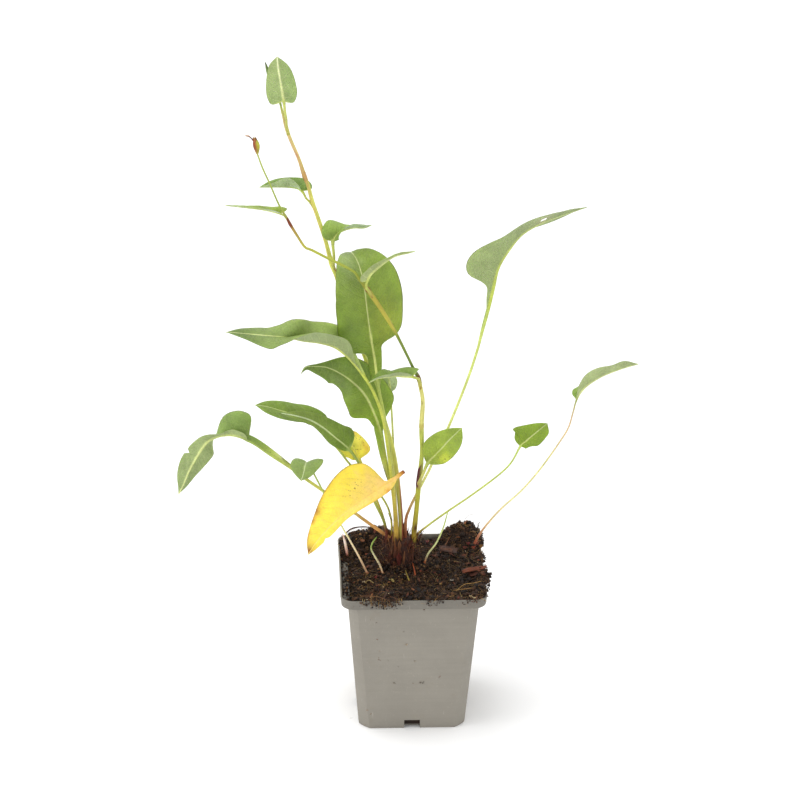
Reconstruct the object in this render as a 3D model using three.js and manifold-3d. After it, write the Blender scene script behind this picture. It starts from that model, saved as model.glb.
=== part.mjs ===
// A young common bistort in its square nursery pot, in millimetres, +Z up.
// The origin is the middle of the pot's underside, and the front of the pot faces -Y.
import * as THREE from "three";
import Module from "manifold-3d";

const wasm = await Module();
wasm.setup();

// Clearance between pieces that touch in the real plant
const GAP = 0.3;

// Pot: a tapered square body with cut corners under a stepped-out rim band
const POT_HEIGHT = 96.4;
const RIM_HALF = 45;
const RIM_BAND = 6.2;
const RIM_WALL = 1;
const RIM_CORNER = 8;
const BODY_TOP_HALF = 40.4;
const BODY_BASE_HALF = 33.1;
const BODY_TOP_CUT = 5.4;
const BODY_BASE_CUT = 6.6;
const POT_WALL = 1.1;
const RIM_DRAFT = 0.6;
const INNER_CORNER = 0.3;
const CORNER_STEPS = 5;
const CORNER_SOFTNESS = 0.25;
const POT_FLOOR = 1.6;
const LEDGE_Z = POT_HEIGHT - RIM_BAND;

// Drain notch in the middle of each side of the base
const NOTCH_WIDTH = 9.8;
const NOTCH_HEIGHT = 6;
const NOTCH_DEPTH = 12;
const DRAIN_WIDTH = 6;
const DRAIN_HEIGHT = 2.4;

// Compost: general level and the limits of the heap over the rim
const SOIL_LEVEL = 93.5;
const SOIL_RIGHT = 47.4;
const SOIL_LEFT = -44.7;
const SOIL_FRONT = -45.4;
const SOIL_BACK = 44.7;
const SOIL_GRID = 16;
const SOIL_CORNER_PULL = 0.07;
const LUMP_RISE = 0.7;
const CLOD_RISE = 0.5;

// Crown: the knot of sheaths in which the stalks stand
const CROWN = { x: -6.8, y: 1.6, radiusX: 11.4, radiusY: 9.4, base: 89, top: 116, sides: 16 };

// Leaf sections
const BLADE_THICKNESS = 0.7;
const BLADE_ARCH = 8;
const RIB_RISE = 0.5;
const RIB_AT_TIP = 0.3;
const STALK_STEP = 14;
const FOOT_DEPTH = 17;
const RING_SIDES = 8;

const finish = {
  pot: { color: "#9a958a", roughness: 0.62 },
  compost: { color: "#2a1c13", roughness: 0.95 },
  crown: { color: "#7d3c24", roughness: 0.7 },
  tallStem: { color: "#c4b04c", roughness: 0.55 },
  budStem: { color: "#a9a63f", roughness: 0.55 },
  bud: { color: "#8d4a2c", roughness: 0.75 },
  leaf: { color: "#86a04c", roughness: 0.5 },
  paleLeaf: { color: "#a9bb80", roughness: 0.55 },
  yellowLeaf: { color: "#f2d84a", roughness: 0.55 },
  stalk: { color: "#a9b055", roughness: 0.55 },
  sprout: { color: "#d9b8a4", roughness: 0.6 },
  bark: { color: "#5b3a26", roughness: 0.9 },
};

const vector = (point) => new THREE.Vector3(point[0], point[1], point[2]);

// A closed surface through rings of equal size, with an end point at each side.
// The second half of each ring of a sheet is split like the first, so that its two faces stay parallel.
function loft(rings, first, last, sheet = false) {
  const count = rings[0].length;
  const positions = [];
  const faces = [];
  for (const ring of rings) {
    for (const point of ring) {
      positions.push(point.x, point.y, point.z);
    }
  }
  const firstIndex = rings.length * count;
  const lastIndex = firstIndex + 1;
  positions.push(first.x, first.y, first.z, last.x, last.y, last.z);
  for (let i = 0; i < count; i += 1) {
    const next = (i + 1) % count;
    const end = (rings.length - 1) * count;
    faces.push(firstIndex, next, i);
    faces.push(end + i, end + next, lastIndex);
    for (let j = 0; j < rings.length - 1; j += 1) {
      const a = j * count + i;
      const b = j * count + next;
      if (sheet && i >= count / 2) {
        faces.push(a, b, a + count);
        faces.push(b, b + count, a + count);
      } else {
        faces.push(a, b, b + count);
        faces.push(a, b + count, a + count);
      }
    }
  }
  const geometry = new THREE.BufferGeometry();
  geometry.setAttribute("position", new THREE.Float32BufferAttribute(positions, 3));
  geometry.setIndex(faces);
  return geometry;
}

function toSolid(geometry) {
  const vertProperties = new Float32Array(geometry.getAttribute("position").array);
  const triVerts = new Uint32Array(geometry.getIndex().array);
  return new wasm.Manifold(new wasm.Mesh({ numProp: 3, vertProperties, triVerts }));
}

function toGeometry(solid) {
  const mesh = solid.getMesh();
  const geometry = new THREE.BufferGeometry();
  geometry.setAttribute("position", new THREE.Float32BufferAttribute(mesh.vertProperties, 3));
  geometry.setIndex(Array.from(mesh.triVerts));
  return geometry;
}

function piece(name, geometry, look) {
  const mesh = new THREE.Mesh(geometry, new THREE.MeshStandardMaterial({ metalness: 0, ...look }));
  mesh.name = name;
  return mesh;
}

// Smooth value between the rows of a table whose first column is the place along the blade
function between(rows, place, column) {
  const last = rows.length - 1;
  const slope = (i) => {
    const low = Math.max(i - 1, 0);
    const high = Math.min(i + 1, last);
    return (rows[high][column] - rows[low][column]) / (rows[high][0] - rows[low][0]);
  };
  let i = 0;
  while (i < last - 1 && place > rows[i + 1][0]) {
    i += 1;
  }
  const span = rows[i + 1][0] - rows[i][0];
  const u = (place - rows[i][0]) / span;
  const start = (2 * u ** 3 - 3 * u ** 2 + 1) * rows[i][column];
  const end = (3 * u ** 2 - 2 * u ** 3) * rows[i + 1][column];
  const bend = (u ** 3 - 2 * u ** 2 + u) * slope(i) + (u ** 3 - u ** 2) * slope(i + 1);
  return start + end + bend * span;
}

// A smooth line through points, measured in millimetres along its length
function routeThrough(points) {
  const curve = new THREE.CatmullRomCurve3(points.map(vector), false, "catmullrom", 0.5);
  const stepsPerSpan = 24;
  curve.arcLengthDivisions = stepsPerSpan * (points.length - 1);
  const lengths = curve.getLengths();
  const total = lengths[lengths.length - 1];
  const at = (length) => curve.getPointAt(THREE.MathUtils.clamp(length / total, 0, 1));
  const along = (length) => curve.getTangentAt(THREE.MathUtils.clamp(length / total, 0, 1));
  const lengthAtPoint = (index) => lengths[index * stepsPerSpan];
  return { at, along, total, lengthAtPoint };
}

// The upward direction made square to the line
function squareTo(up, along) {
  return up.clone().addScaledVector(along, -up.dot(along)).normalize();
}

function roundRing(centre, side, up, radius) {
  const ring = [];
  for (let i = 0; i < RING_SIDES; i += 1) {
    const angle = Math.PI - (i * 2 * Math.PI) / RING_SIDES;
    const point = centre.clone().addScaledVector(side, radius * Math.cos(angle));
    ring.push(point.addScaledVector(up, radius * Math.sin(angle)));
  }
  return ring;
}

// Rings of a round stem whose points each give their own radius
function stemRings(stem, route, growth) {
  const marks = stem.points.map((point, index) => [route.lengthAtPoint(index), point[3]]);
  const count = Math.max(2, Math.round(route.total / stem.step));
  const rings = [];
  let up = new THREE.Vector3(0, -1, 0.2);
  for (let i = 0; i <= count; i += 1) {
    const length = (route.total * i) / count;
    const along = route.along(length);
    up = squareTo(up, along);
    const radius = between(marks, length, 1) + growth;
    rings.push(roundRing(route.at(length), along.clone().cross(up), up, radius));
  }
  return rings;
}

function stemGeometry(stem) {
  const route = routeThrough(stem.points);
  return loft(stemRings(stem, route, 0), route.at(0), route.at(route.total));
}

function stemSleeve(stem) {
  const route = routeThrough(stem.points);
  const count = Math.ceil(FOOT_DEPTH / stem.step) + 1;
  return sleeve(stemRings(stem, route, GAP).slice(0, count), route);
}

// One half of a blade section: its margin and the middle of its upper and lower faces
function bladeHalf(centre, side, up, sign, width, lift) {
  const towards = (angle, length) => {
    const radians = THREE.MathUtils.degToRad(angle);
    const point = centre.clone().addScaledVector(side, sign * length * Math.cos(radians));
    return point.addScaledVector(up, length * Math.sin(radians));
  };
  const radians = THREE.MathUtils.degToRad(lift);
  const normal = up.clone().multiplyScalar(Math.cos(radians));
  normal.addScaledVector(side, -sign * Math.sin(radians));
  const middle = towards(lift + BLADE_ARCH, width / 2);
  const half = BLADE_THICKNESS / 2;
  return {
    margin: towards(lift, width),
    top: middle.clone().addScaledVector(normal, half),
    bottom: middle.clone().addScaledVector(normal, -half),
  };
}

// The upward side changes evenly along the blade from one listed direction to the next
function upwardSide(leaf, place) {
  const spans = leaf.up.length - 1;
  const i = Math.min(Math.floor(place * spans), spans - 1);
  return vector(leaf.up[i]).lerp(vector(leaf.up[i + 1]), place * spans - i);
}

function bladeRing(leaf, route, join, place) {
  const length = join + place * (route.total - join);
  const along = route.along(length);
  const centre = route.at(length);
  const up = squareTo(upwardSide(leaf, place), along);
  const side = along.clone().cross(up);
  const rows = [...leaf.blade, [1, 0, leaf.blade.at(-1)[2], 0, leaf.blade.at(-1)[4]]];
  const left = bladeHalf(centre, side, up, -1, between(rows, place, 1), between(rows, place, 2));
  const right = bladeHalf(centre, side, up, 1, between(rows, place, 3), between(rows, place, 4));
  const [leftLobe, rightLobe] = leaf.lobe ?? [0, 0];
  const leftPull = leftLobe * (1 - place) ** 3 * between(rows, place, 1);
  const rightPull = rightLobe * (1 - place) ** 3 * between(rows, place, 3);
  left.margin.addScaledVector(along, -leftPull);
  right.margin.addScaledVector(along, -rightPull);
  for (const face of ["top", "bottom"]) {
    left[face].addScaledVector(along, -leftPull / 2);
    right[face].addScaledVector(along, -rightPull / 2);
  }
  const rib = leaf.radius[1] * (1 - place) + RIB_AT_TIP * place;
  const ribTop = centre.clone().addScaledVector(up, rib * RIB_RISE);
  const ribBottom = centre.clone().addScaledVector(up, -rib);
  return [left.margin, left.top, ribTop, right.top, right.margin, right.bottom, ribBottom, left.bottom];
}

// Round rings from the foot to the blade, each turned to follow the one above it
function stalkRings(leaf, route, join, growth) {
  const count = Math.max(2, Math.round(join / STALK_STEP));
  const rings = [];
  let up = squareTo(vector(leaf.up[0]), route.along(join));
  for (let i = count - 1; i >= 0; i -= 1) {
    const length = (join * i) / count;
    const along = route.along(length);
    up = squareTo(up, along);
    const radius = THREE.MathUtils.lerp(leaf.radius[0], leaf.radius[1], i / count) + growth;
    rings.unshift(roundRing(route.at(length), along.clone().cross(up), up, radius));
  }
  return rings;
}

// A closed sleeve through the first rings of a stalk, begun a little below its foot
function sleeve(rings, route) {
  const start = route.along(0).multiplyScalar(-GAP);
  rings[0] = rings[0].map((point) => point.add(start));
  const last = rings.at(-1).reduce((sum, point) => sum.add(point), new THREE.Vector3());
  return toSolid(loft(rings, route.at(0).add(start), last.divideScalar(RING_SIDES)));
}

// A whole leaf: a round stalk that widens into a folded blade and ends in a point
function leafGeometry(leaf) {
  const route = routeThrough([...leaf.stalk, ...leaf.rib]);
  const join = route.lengthAtPoint(leaf.stalk.length);
  const rings = leaf.blade.map(([place]) => bladeRing(leaf, route, join, place));
  return loft([...stalkRings(leaf, route, join, 0), ...rings], route.at(0), route.at(route.total), true);
}

// The foot of a leaf stalk with clearance around it, to cut its pocket
function leafSleeve(leaf) {
  const route = routeThrough([...leaf.stalk, ...leaf.rib]);
  const join = route.lengthAtPoint(leaf.stalk.length);
  return sleeve(stalkRings(leaf, route, join, GAP).slice(0, 3), route);
}

// Basal leaves, each with its own stalk: the stalk's points, the midrib's points, the upward side from
// the blade's base to its tip, and rows of place, left half-width, left lift, right half-width, right
// lift. A lobe sweeps the margins of the base backwards by that share of their half-width.
const leaves = {
  leaf_oval: {
    stalk: [[-10, -1, 106], [-10, -0.8, 127.5], [-11.2, 0, 145], [-13.5, 1.2, 172], [-16.5, 2, 193],
      [-20, 2, 212]],
    rib: [[-21.5, 1.5, 220], [-23.5, 1, 237], [-26, -1, 252.5], [-28.5, -3, 271.5], [-30, -3.5, 284.5],
      [-32.5, -2, 297], [-35, 2, 302.5], [-37.5, 8, 304], [-38.5, 15, 301]],
    up: [[0, -1, 0.3], [-0.1, -0.2, 1]],
    blade: [[0, 1.5, 0, 1.5, 0], [0.1, 4, 0, 3.5, 0], [0.22, 5, 5, 5, 5], [0.26, 11, 17, 5.8, 0],
      [0.285, 14.5, 21, 9, 0], [0.31, 17, 24, 14, 0], [0.36, 19.5, 22.5, 18.7, -3], [0.42, 21, 21, 20.7, -5],
      [0.58, 20, 22, 22.3, -5], [0.72, 19, 20, 21.3, -5], [0.83, 14.5, 12, 16, 0], [0.93, 6.5, 5, 6.6, 5]],
    radius: [1.2, 1],
  },
  leaf_hooked: {
    stalk: [[-10, 2.2, 106], [-10, 2.6, 130], [-11.5, 3.6, 147], [-14.5, 4, 158.5], [-17, 4.6, 172.5]],
    rib: [[-19.5, 5.8, 186.5], [-24, 6.5, 200], [-29.5, 6, 211.8], [-37, 3, 221.6], [-45, -2.5, 230],
      [-52.5, -8, 236.2], [-59.5, -12, 238.7], [-65.5, -15, 239.7], [-68.5, -17, 236.2]],
    up: [[0.1, -0.97, 0.2], [0, -0.9, 0.4], [-0.3, -0.5, 0.8]],
    blade: [[0, 1.5, 0, 1.5, 0], [0.08, 3.5, 0, 5, 0], [0.15, 5.5, 5, 11.5, 5], [0.22, 13.2, 5, 15.4, 10],
      [0.3, 14, 10, 15.4, 10], [0.42, 12.6, 10, 15, 18], [0.55, 9.2, 15, 15, 22], [0.66, 8, 10, 11.5, 24],
      [0.78, 9.8, 5, 3.6, 30], [0.9, 4, 0, 1, 30]],
    lobe: [0.25, 0],
    radius: [1.2, 1],
  },
  leaf_wavy: {
    stalk: [[-9.5, -4.5, 106], [-10, -4.2, 131], [-12, -3.2, 151.5], [-15, -2.6, 178], [-18.5, -2.3, 200],
      [-24, -2.5, 216.5]],
    rib: [[-30, -3.5, 228], [-36, -5, 237], [-41.5, -7, 244], [-49, -10, 250.5], [-58, -14, 255],
      [-67, -18, 258], [-76, -22, 262], [-91.5, -28, 266.5], [-102.5, -31, 269], [-112.5, -33, 271]],
    up: [[0, -0.3, 1], [0, -0.3, 1]],
    blade: [[0, 1.2, 40, 1.2, 40], [0.08, 3, 50, 3, 45], [0.14, 6, 35, 6, 30], [0.2, 10, 40, 10, 45],
      [0.28, 13, 60, 13, 60], [0.36, 14, 60, 13.5, 50], [0.44, 14, 60, 13, 40], [0.52, 13, 60, 13, 60],
      [0.59, 12.5, 45, 12.5, 70], [0.65, 11.5, 25, 8.5, 30], [0.7, 11, 10, 9, 0],
      [0.76, 11.5, -5, 8.5, -5], [0.9, 5, 0, 5, 0]],
    radius: [1.2, 1],
  },
  leaf_small: {
    stalk: [[-10, 5.5, 106], [-9.5, 9, 129.5], [-10.5, 12.5, 154], [-11.5, 14, 178.5], [-12.5, 14, 197]],
    rib: [[-13.5, 13.5, 209.8], [-14, 13, 215.5], [-14.3, 12.5, 220.5], [-14.5, 12.2, 225.5]],
    up: [[0.1, 0.95, -0.3], [0.1, 0.95, -0.3]],
    blade: [[0, 0.8, 0, 0.8, 0], [0.12, 3.5, 10, 3.5, 10], [0.45, 5, 10, 5, 10], [0.8, 3, 10, 3, 10]],
    radius: [0.8, 0.6],
    look: finish.paleLeaf,
  },
  leaf_upper_left: {
    stalk: [[-12, 4.5, 106], [-12.5, 5.5, 126.5], [-17, 5.5, 140], [-26.5, 5, 152], [-37.5, 3.5, 165],
      [-45, 2.5, 176], [-52.5, 2, 185.5]],
    rib: [[-58.5, 1.5, 192.5], [-65.5, 0.5, 198.5], [-73, -1, 202], [-80.5, -3, 205.5], [-88, -5, 209],
      [-96, -7, 211.5]],
    up: [[0, -0.5, 0.9], [0, -0.5, 0.9]],
    blade: [[0, 1.1, 10, 1.1, 10], [0.04, 1.8, 10, 8, 20], [0.11, 3, 20, 9.5, 20],
      [0.22, 6.5, 30, 9.5, 10], [0.38, 9.5, 30, 9, 0], [0.55, 10, 25, 8, 0], [0.72, 9, 20, 6, 0],
      [0.87, 6, 15, 3.5, 0]],
    lobe: [0, 0.6],
    radius: [0.8, 0.8],
  },
  leaf_lower_left: {
    stalk: [[-14.5, 1.5, 106], [-16.5, 0.5, 125.5], [-23, -2, 142.5], [-28.5, -2.4, 158.2],
      [-33.5, -2.6, 170.6]],
    rib: [[-39, -4, 179.5], [-47, -6, 188], [-54.5, -8, 196], [-62, -11, 202.5], [-70.5, -14, 207],
      [-80, -17, 210.5]],
    up: [[0, -0.6, 0.8], [0, -0.6, 0.8]],
    blade: [[0, 1.2, 10, 1.2, 10], [0.06, 3.5, 10, 9, 10], [0.13, 5, 10, 11.5, 10],
      [0.25, 5.5, 0, 9.5, 15], [0.4, 4, -20, 7.5, 15], [0.6, 2.5, -30, 5.5, 10], [0.8, 2, -30, 3.5, 10]],
    lobe: [0, 0.2],
    radius: [1.1, 0.9],
  },
  leaf_yellowing: {
    stalk: [[-13.5, 8, 106], [-17, 9, 125], [-22.5, 9.5, 141], [-27.5, 9, 154], [-30.5, 8.5, 162.5]],
    rib: [[-32.5, 8, 167], [-35.5, 8, 174], [-40, 7.5, 180.5], [-45, 7, 185.5], [-50, 6, 189.5]],
    up: [[0, -0.9, 0.4], [0, -0.9, 0.4]],
    blade: [[0, 1.2, 0, 1.2, 0], [0.07, 4, 10, 6, 10], [0.15, 5.5, 10, 9, 10], [0.3, 8.5, 10, 9, 10],
      [0.5, 8, 10, 8, 10], [0.7, 6.5, 10, 7, 10], [0.88, 3.5, 10, 4, 10]],
    lobe: [0.1, 0.1],
    radius: [1, 0.8],
    look: finish.yellowLeaf,
  },
  leaf_withered: {
    stalk: [[-5.5, -8.5, 166.5], [-7.5, -9.5, 165.5]],
    rib: [[-10.5, -11, 163.5], [-16.5, -13.5, 160.5], [-24, -16.5, 156.5], [-32.5, -20, 152], [-42, -23.5, 146],
      [-50.5, -27, 139], [-58.5, -29.5, 130.5], [-64.5, -30.5, 121.5]],
    up: [[-0.35, -0.55, 0.75], [-0.35, -0.6, 0.7]],
    blade: [[0, 1.3, 10, 1.3, 10], [0.05, 4, 10, 1.8, 10], [0.095, 5.6, 10, 2.6, 10],
      [0.12, 6.2, 10, 10.5, 20], [0.145, 6.5, 10, 16, 20], [0.18, 6.5, 10, 19.5, 20],
      [0.28, 6.5, 10, 22.7, 20], [0.41, 5.6, 10, 22, 20], [0.55, 5, 10, 18.5, 15], [0.69, 5.4, 10, 14, 10],
      [0.82, 4.6, 10, 9.5, 10], [0.93, 2.5, 10, 5, 10]],
    lobe: [0.1, 0.1],
    radius: [0.8, 1.2],
    look: finish.yellowLeaf,
  },
  leaf_far_left: {
    stalk: [[-16, 5, 106], [-19.5, 5, 119], [-27, 6, 124.5], [-41, 8, 135], [-55, 10, 145],
      [-64, 11, 151.5], [-74.5, 12.5, 159.5], [-87, 14, 168], [-95.5, 14.5, 174.5]],
    rib: [[-101, 15, 177.5], [-107.5, 15, 180], [-114, 14.5, 181], [-120.5, 13, 180.5], [-126.5, 11, 177],
      [-132, 8, 169.5], [-137, 5, 161], [-140.5, 3, 153], [-143.5, 1.5, 147.5]],
    up: [[0, -0.2, 1], [0, 0.3, 0.9], [-0.1, 0.9, -0.2], [-0.3, 0.9, -0.1], [-0.4, 0.9, -0.1]],
    blade: [[0, 1.3, 45, 3, 50], [0.05, 4, 70, 12, 64], [0.12, 5, 68, 15, 66], [0.2, 5.5, 58, 12, 60],
      [0.28, 4.5, 20, 6, 25], [0.36, 5, 10, 6, 10], [0.45, 6, 10, 8.5, 10], [0.55, 7.5, 10, 8.5, 10],
      [0.7, 8, 10, 7, 10], [0.86, 5, 10, 4, 10]],
    radius: [1.2, 1],
  },
  leaf_nodding: {
    stalk: [[-26.5, -4, 92], [-32, -4, 104.5], [-38, -2.5, 116], [-43.5, 0, 125.5], [-50, 2.5, 137],
      [-55.5, 4, 149], [-60, 4.5, 158.5]],
    rib: [[-63.5, 2.5, 166.5], [-65, -1, 169.5], [-66, -7, 169.5], [-67, -13, 167.5], [-68.5, -18, 165.5]],
    up: [[0, 0.3, 1], [0, -0.5, 0.9]],
    blade: [[0, 0.9, 20, 0.9, 20], [0.12, 7, 20, 6, 20], [0.26, 11, 15, 8.5, 10], [0.45, 10.5, 10, 9, 0],
      [0.65, 8, 10, 7.5, 0], [0.85, 4.5, 10, 4.5, 0]],
    radius: [0.9, 0.7],
  },
  leaf_far_right: {
    stalk: [[-3.5, 4, 106], [-3.5, 4.5, 125.5], [-2, 5, 132], [1.5, 5.5, 140.5], [7, 5.5, 152.5],
      [11.5, 5.5, 162.5], [17.5, 6, 178.5], [22.5, 6.5, 190], [32.5, 8, 217.5], [38.5, 10, 236.5],
      [41.5, 11.5, 248]],
    rib: [[45.5, 14, 263], [48.5, 17, 275.5], [51.5, 20.5, 287], [57.5, 25, 297], [66, 31, 305.5],
      [78, 38, 310], [90, 46, 311.5], [107.5, 57, 313]],
    up: [[-0.95, 0.1, 0.2], [-0.7, 0.1, 0.7], [-0.1, 0.1, 1]],
    blade: [[0, 1.3, 30, 1.3, 60], [0.08, 3, 20, 3, 75], [0.15, 4.5, 10, 4.5, 80], [0.185, 6, 10, 9, 80],
      [0.215, 10, 10, 17, 80], [0.25, 14, 10, 20.5, 78], [0.3, 17, 10, 21, 68], [0.36, 18.5, 10, 20.5, 50],
      [0.44, 18.5, 5, 21, 35], [0.55, 17, 0, 18.5, 22], [0.72, 12, -15, 13, 20], [0.86, 7, -25, 8, 25]],
    lobe: [0.15, 0.4],
    radius: [1.3, 1],
  },
  leaf_right_heart: {
    stalk: [[3, 4, 106], [3.5, 5, 115.5], [10.5, 7, 121.5], [22.5, 9, 130], [37.5, 10.5, 140.5],
      [53.5, 11, 153.5], [61.5, 11.5, 162]],
    rib: [[67, 12, 173], [70, 12, 176], [75.5, 12.5, 181], [79.5, 13, 184.5], [83.5, 14, 187.5]],
    up: [[-0.1, -0.9, 0.45], [-0.1, -0.9, 0.45]],
    blade: [[0, 0.8, 0, 0.8, 0], [0.08, 6, 10, 3.5, 10], [0.18, 10.5, 10, 4, 10], [0.27, 11, 10, 5, 10],
      [0.4, 9.5, 10, 7, 10], [0.55, 7.5, 10, 7, 10], [0.7, 5.5, 10, 6.5, 10], [0.88, 2.5, 10, 5, 10]],
    lobe: [0.15, 0.1],
    radius: [0.9, 0.6],
  },
  leaf_right_arch: {
    stalk: [[39.5, 21, 99], [43.5, 22.5, 106.5], [48.5, 23, 114], [57, 24, 124], [69, 25, 135.5],
      [77.5, 26, 145.5], [85, 26, 156.5], [92, 26, 168], [97.5, 25.5, 178.5], [100, 25, 189]],
    rib: [[102, 25, 198], [105, 25, 204], [110, 26, 208.5], [118.5, 28, 213], [129.5, 31, 216],
      [140.5, 34, 218]],
    up: [[-0.9, 0.1, 0.3], [-0.5, 0.1, 0.8], [-0.1, 0.1, 1]],
    blade: [[0, 0.9, 20, 0.9, 20], [0.05, 3.5, 70, 2, 30], [0.1, 5, 65, 4, 30], [0.15, 5.5, 30, 6.5, 35],
      [0.2, 8.5, 5, 8.5, 40], [0.3, 11, 0, 11, 47], [0.45, 11.5, -5, 12, 45], [0.62, 9.5, -10, 10, 42],
      [0.82, 6, -20, 6.5, 55]],
    lobe: [0.3, 0],
    radius: [1, 0.7],
  },
};

// Small leaves of the two stems, attached at the nodes
const stemLeaves = {
  stem_leaf_low: {
    stalk: [[4, -4.3, 157], [6, -5, 162]],
    rib: [[9, -6.8, 171.3], [13, -7.2, 176.4], [17.5, -7.2, 181.4], [21, -7.4, 186], [25, -7.4, 190.5],
      [29.5, -7.2, 195]],
    up: [[-0.1, -0.9, 0.45], [-0.1, -0.9, 0.45]],
    blade: [[0, 1.2, 0, 1.2, 0], [0.06, 3.5, 15, 3, 10], [0.14, 7, 22, 5, 10], [0.28, 10.5, 22, 8, 15],
      [0.5, 10, 10, 9, 15], [0.72, 7, 10, 8, 10], [0.88, 3.5, 10, 5, 10]],
    lobe: [0.2, 0.2],
    radius: [0.9, 0.8],
  },
  stem_leaf_mid: {
    stalk: [[2.3, -11.2, 230], [0.5, -12.4, 231]],
    rib: [[-2, -13.2, 232], [-7, -14, 232.5], [-12, -14.3, 233], [-16.5, -14.6, 232.5], [-22, -15, 232],
      [-27.5, -15, 229.5]],
    up: [[0, 0.1, 1], [0, 0.1, 1]],
    blade: [[0, 1, 20, 1, 40], [0.05, 3.5, 35, 4.5, 80], [0.12, 5, 40, 5.5, 84], [0.2, 6, 42, 6, 78],
      [0.32, 6.5, 42, 6.5, 40], [0.48, 6.5, 35, 6.5, 15], [0.65, 6, 35, 6, 40], [0.85, 3.5, 25, 3.5, 15]],
    lobe: [0.2, 1.5],
    radius: [0.8, 0.8],
  },
  stem_leaf_high: {
    stalk: [[-29.5, -17, 292], [-29.5, -17, 294.5]],
    rib: [[-28.5, -17.5, 297], [-27, -18, 300.5], [-24, -19, 304], [-20, -20, 308], [-16.5, -21.5, 311.5],
      [-13, -22.5, 314], [-9.5, -23.5, 315.5], [-5.5, -24, 316.5], [-1, -24, 318]],
    up: [[-0.95, 0.05, 0.2], [-0.6, 0.1, 0.8], [-0.2, 0.1, 0.95]],
    blade: [[0, 1, 20, 1, 50], [0.05, 3, 10, 4, 55], [0.1, 4, 10, 5.5, 52], [0.2, 5, 5, 6, 50],
      [0.35, 5.5, 0, 6, 48], [0.5, 5, 0, 5.5, 35], [0.65, 4, 0, 4, 28], [0.82, 2.5, 0, 2.5, 50]],
    lobe: [0.2, 1],
    radius: [0.9, 0.8],
  },
  stem_leaf_top: {
    stalk: [[-77, -4, 332.5], [-78, -3.5, 333]],
    rib: [[-80, -4, 334], [-84.5, -5.5, 336], [-90.5, -7, 338], [-97.5, -8.5, 339.5], [-104.5, -10, 341],
      [-112, -11.5, 342.5]],
    up: [[0, 0, 1], [0, 0, 1]],
    blade: [[0, 0.8, 20, 0.8, 20], [0.04, 2.5, 22, 5, 35], [0.12, 4, 22, 6, 30], [0.25, 6.5, 22, 7.5, 5],
      [0.45, 6.5, 22, 6.5, 0], [0.65, 4.5, 22, 4.5, -5], [0.85, 2, 25, 2, -5]],
    lobe: [0, 1.5],
    radius: [0.6, 0.6],
  },
  tall_leaf_low: {
    stalk: [[-48, 9, 297.5], [-48, 8.5, 302.5], [-48.5, 8.2, 307.5]],
    rib: [[-48.5, 8, 312], [-46.5, 8, 315.5], [-44, 8.5, 317.5], [-40, 10, 318.5], [-35.5, 12, 318.5],
      [-30, 14, 317.5], [-25.5, 16, 318.5]],
    up: [[-0.1, -0.9, 0.3], [-0.1, -0.4, 0.9], [0, -0.1, 1]],
    blade: [[0, 1.2, 10, 1.2, 10], [0.04, 4.5, 15, 2, 15], [0.1, 7.5, 20, 3, 20], [0.2, 9.5, 20, 6, 55],
      [0.3, 10, -5, 9, 65], [0.42, 8.5, -15, 8.5, 62], [0.6, 5.5, -20, 6, 58], [0.8, 3.5, -20, 4, 60]],
    lobe: [0.6, 0.2],
    radius: [0.8, 0.8],
  },
  tall_leaf_mid: {
    stalk: [[-64, 13, 336], [-65, 14, 338], [-66, 15, 339.5]],
    rib: [[-67.5, 15.5, 341], [-70, 15.5, 342.5], [-75, 14, 343.5], [-83, 12, 344.5], [-92, 10, 345.5]],
    up: [[0.2, -0.2, 1], [0, -0.2, 1], [0, -0.2, 1]],
    blade: [[0, 1, 30, 1, 30], [0.05, 3.5, 30, 4.5, 65], [0.12, 5.5, 32, 6, 50], [0.2, 7, 45, 6.5, 40],
      [0.35, 8.2, 72, 6.5, 40], [0.5, 7.6, 78, 6, 40], [0.65, 5.5, 74, 5, 40], [0.82, 3.5, 60, 3, 40]],
    lobe: [0.2, 1.6],
    radius: [0.6, 0.6],
  },
  tall_leaf_top: {
    stalk: [[-75.7, 13.5, 385], [-76.2, 13, 388.5], [-76.7, 13, 392]],
    rib: [[-77.3, 13, 398], [-79, 14, 409], [-80.4, 15, 418], [-81, 16, 424.5]],
    up: [[0, 0.9, -0.3], [0, 0.9, -0.3]],
    blade: [[0, 1, 0, 1, 0], [0.02, 3, 10, 5.5, 10], [0.06, 5.5, 10, 7.5, 10], [0.14, 7, 10, 8.6, 10],
      [0.25, 8.6, 10, 9.5, 10], [0.4, 9, 15, 9, 10], [0.55, 8.2, 10, 8, 10], [0.7, 7, 10, 6.6, 10],
      [0.85, 4.5, 10, 4.5, 10]],
    lobe: [0.9, 0.6],
    radius: [0.8, 0.8],
  },
};

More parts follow.
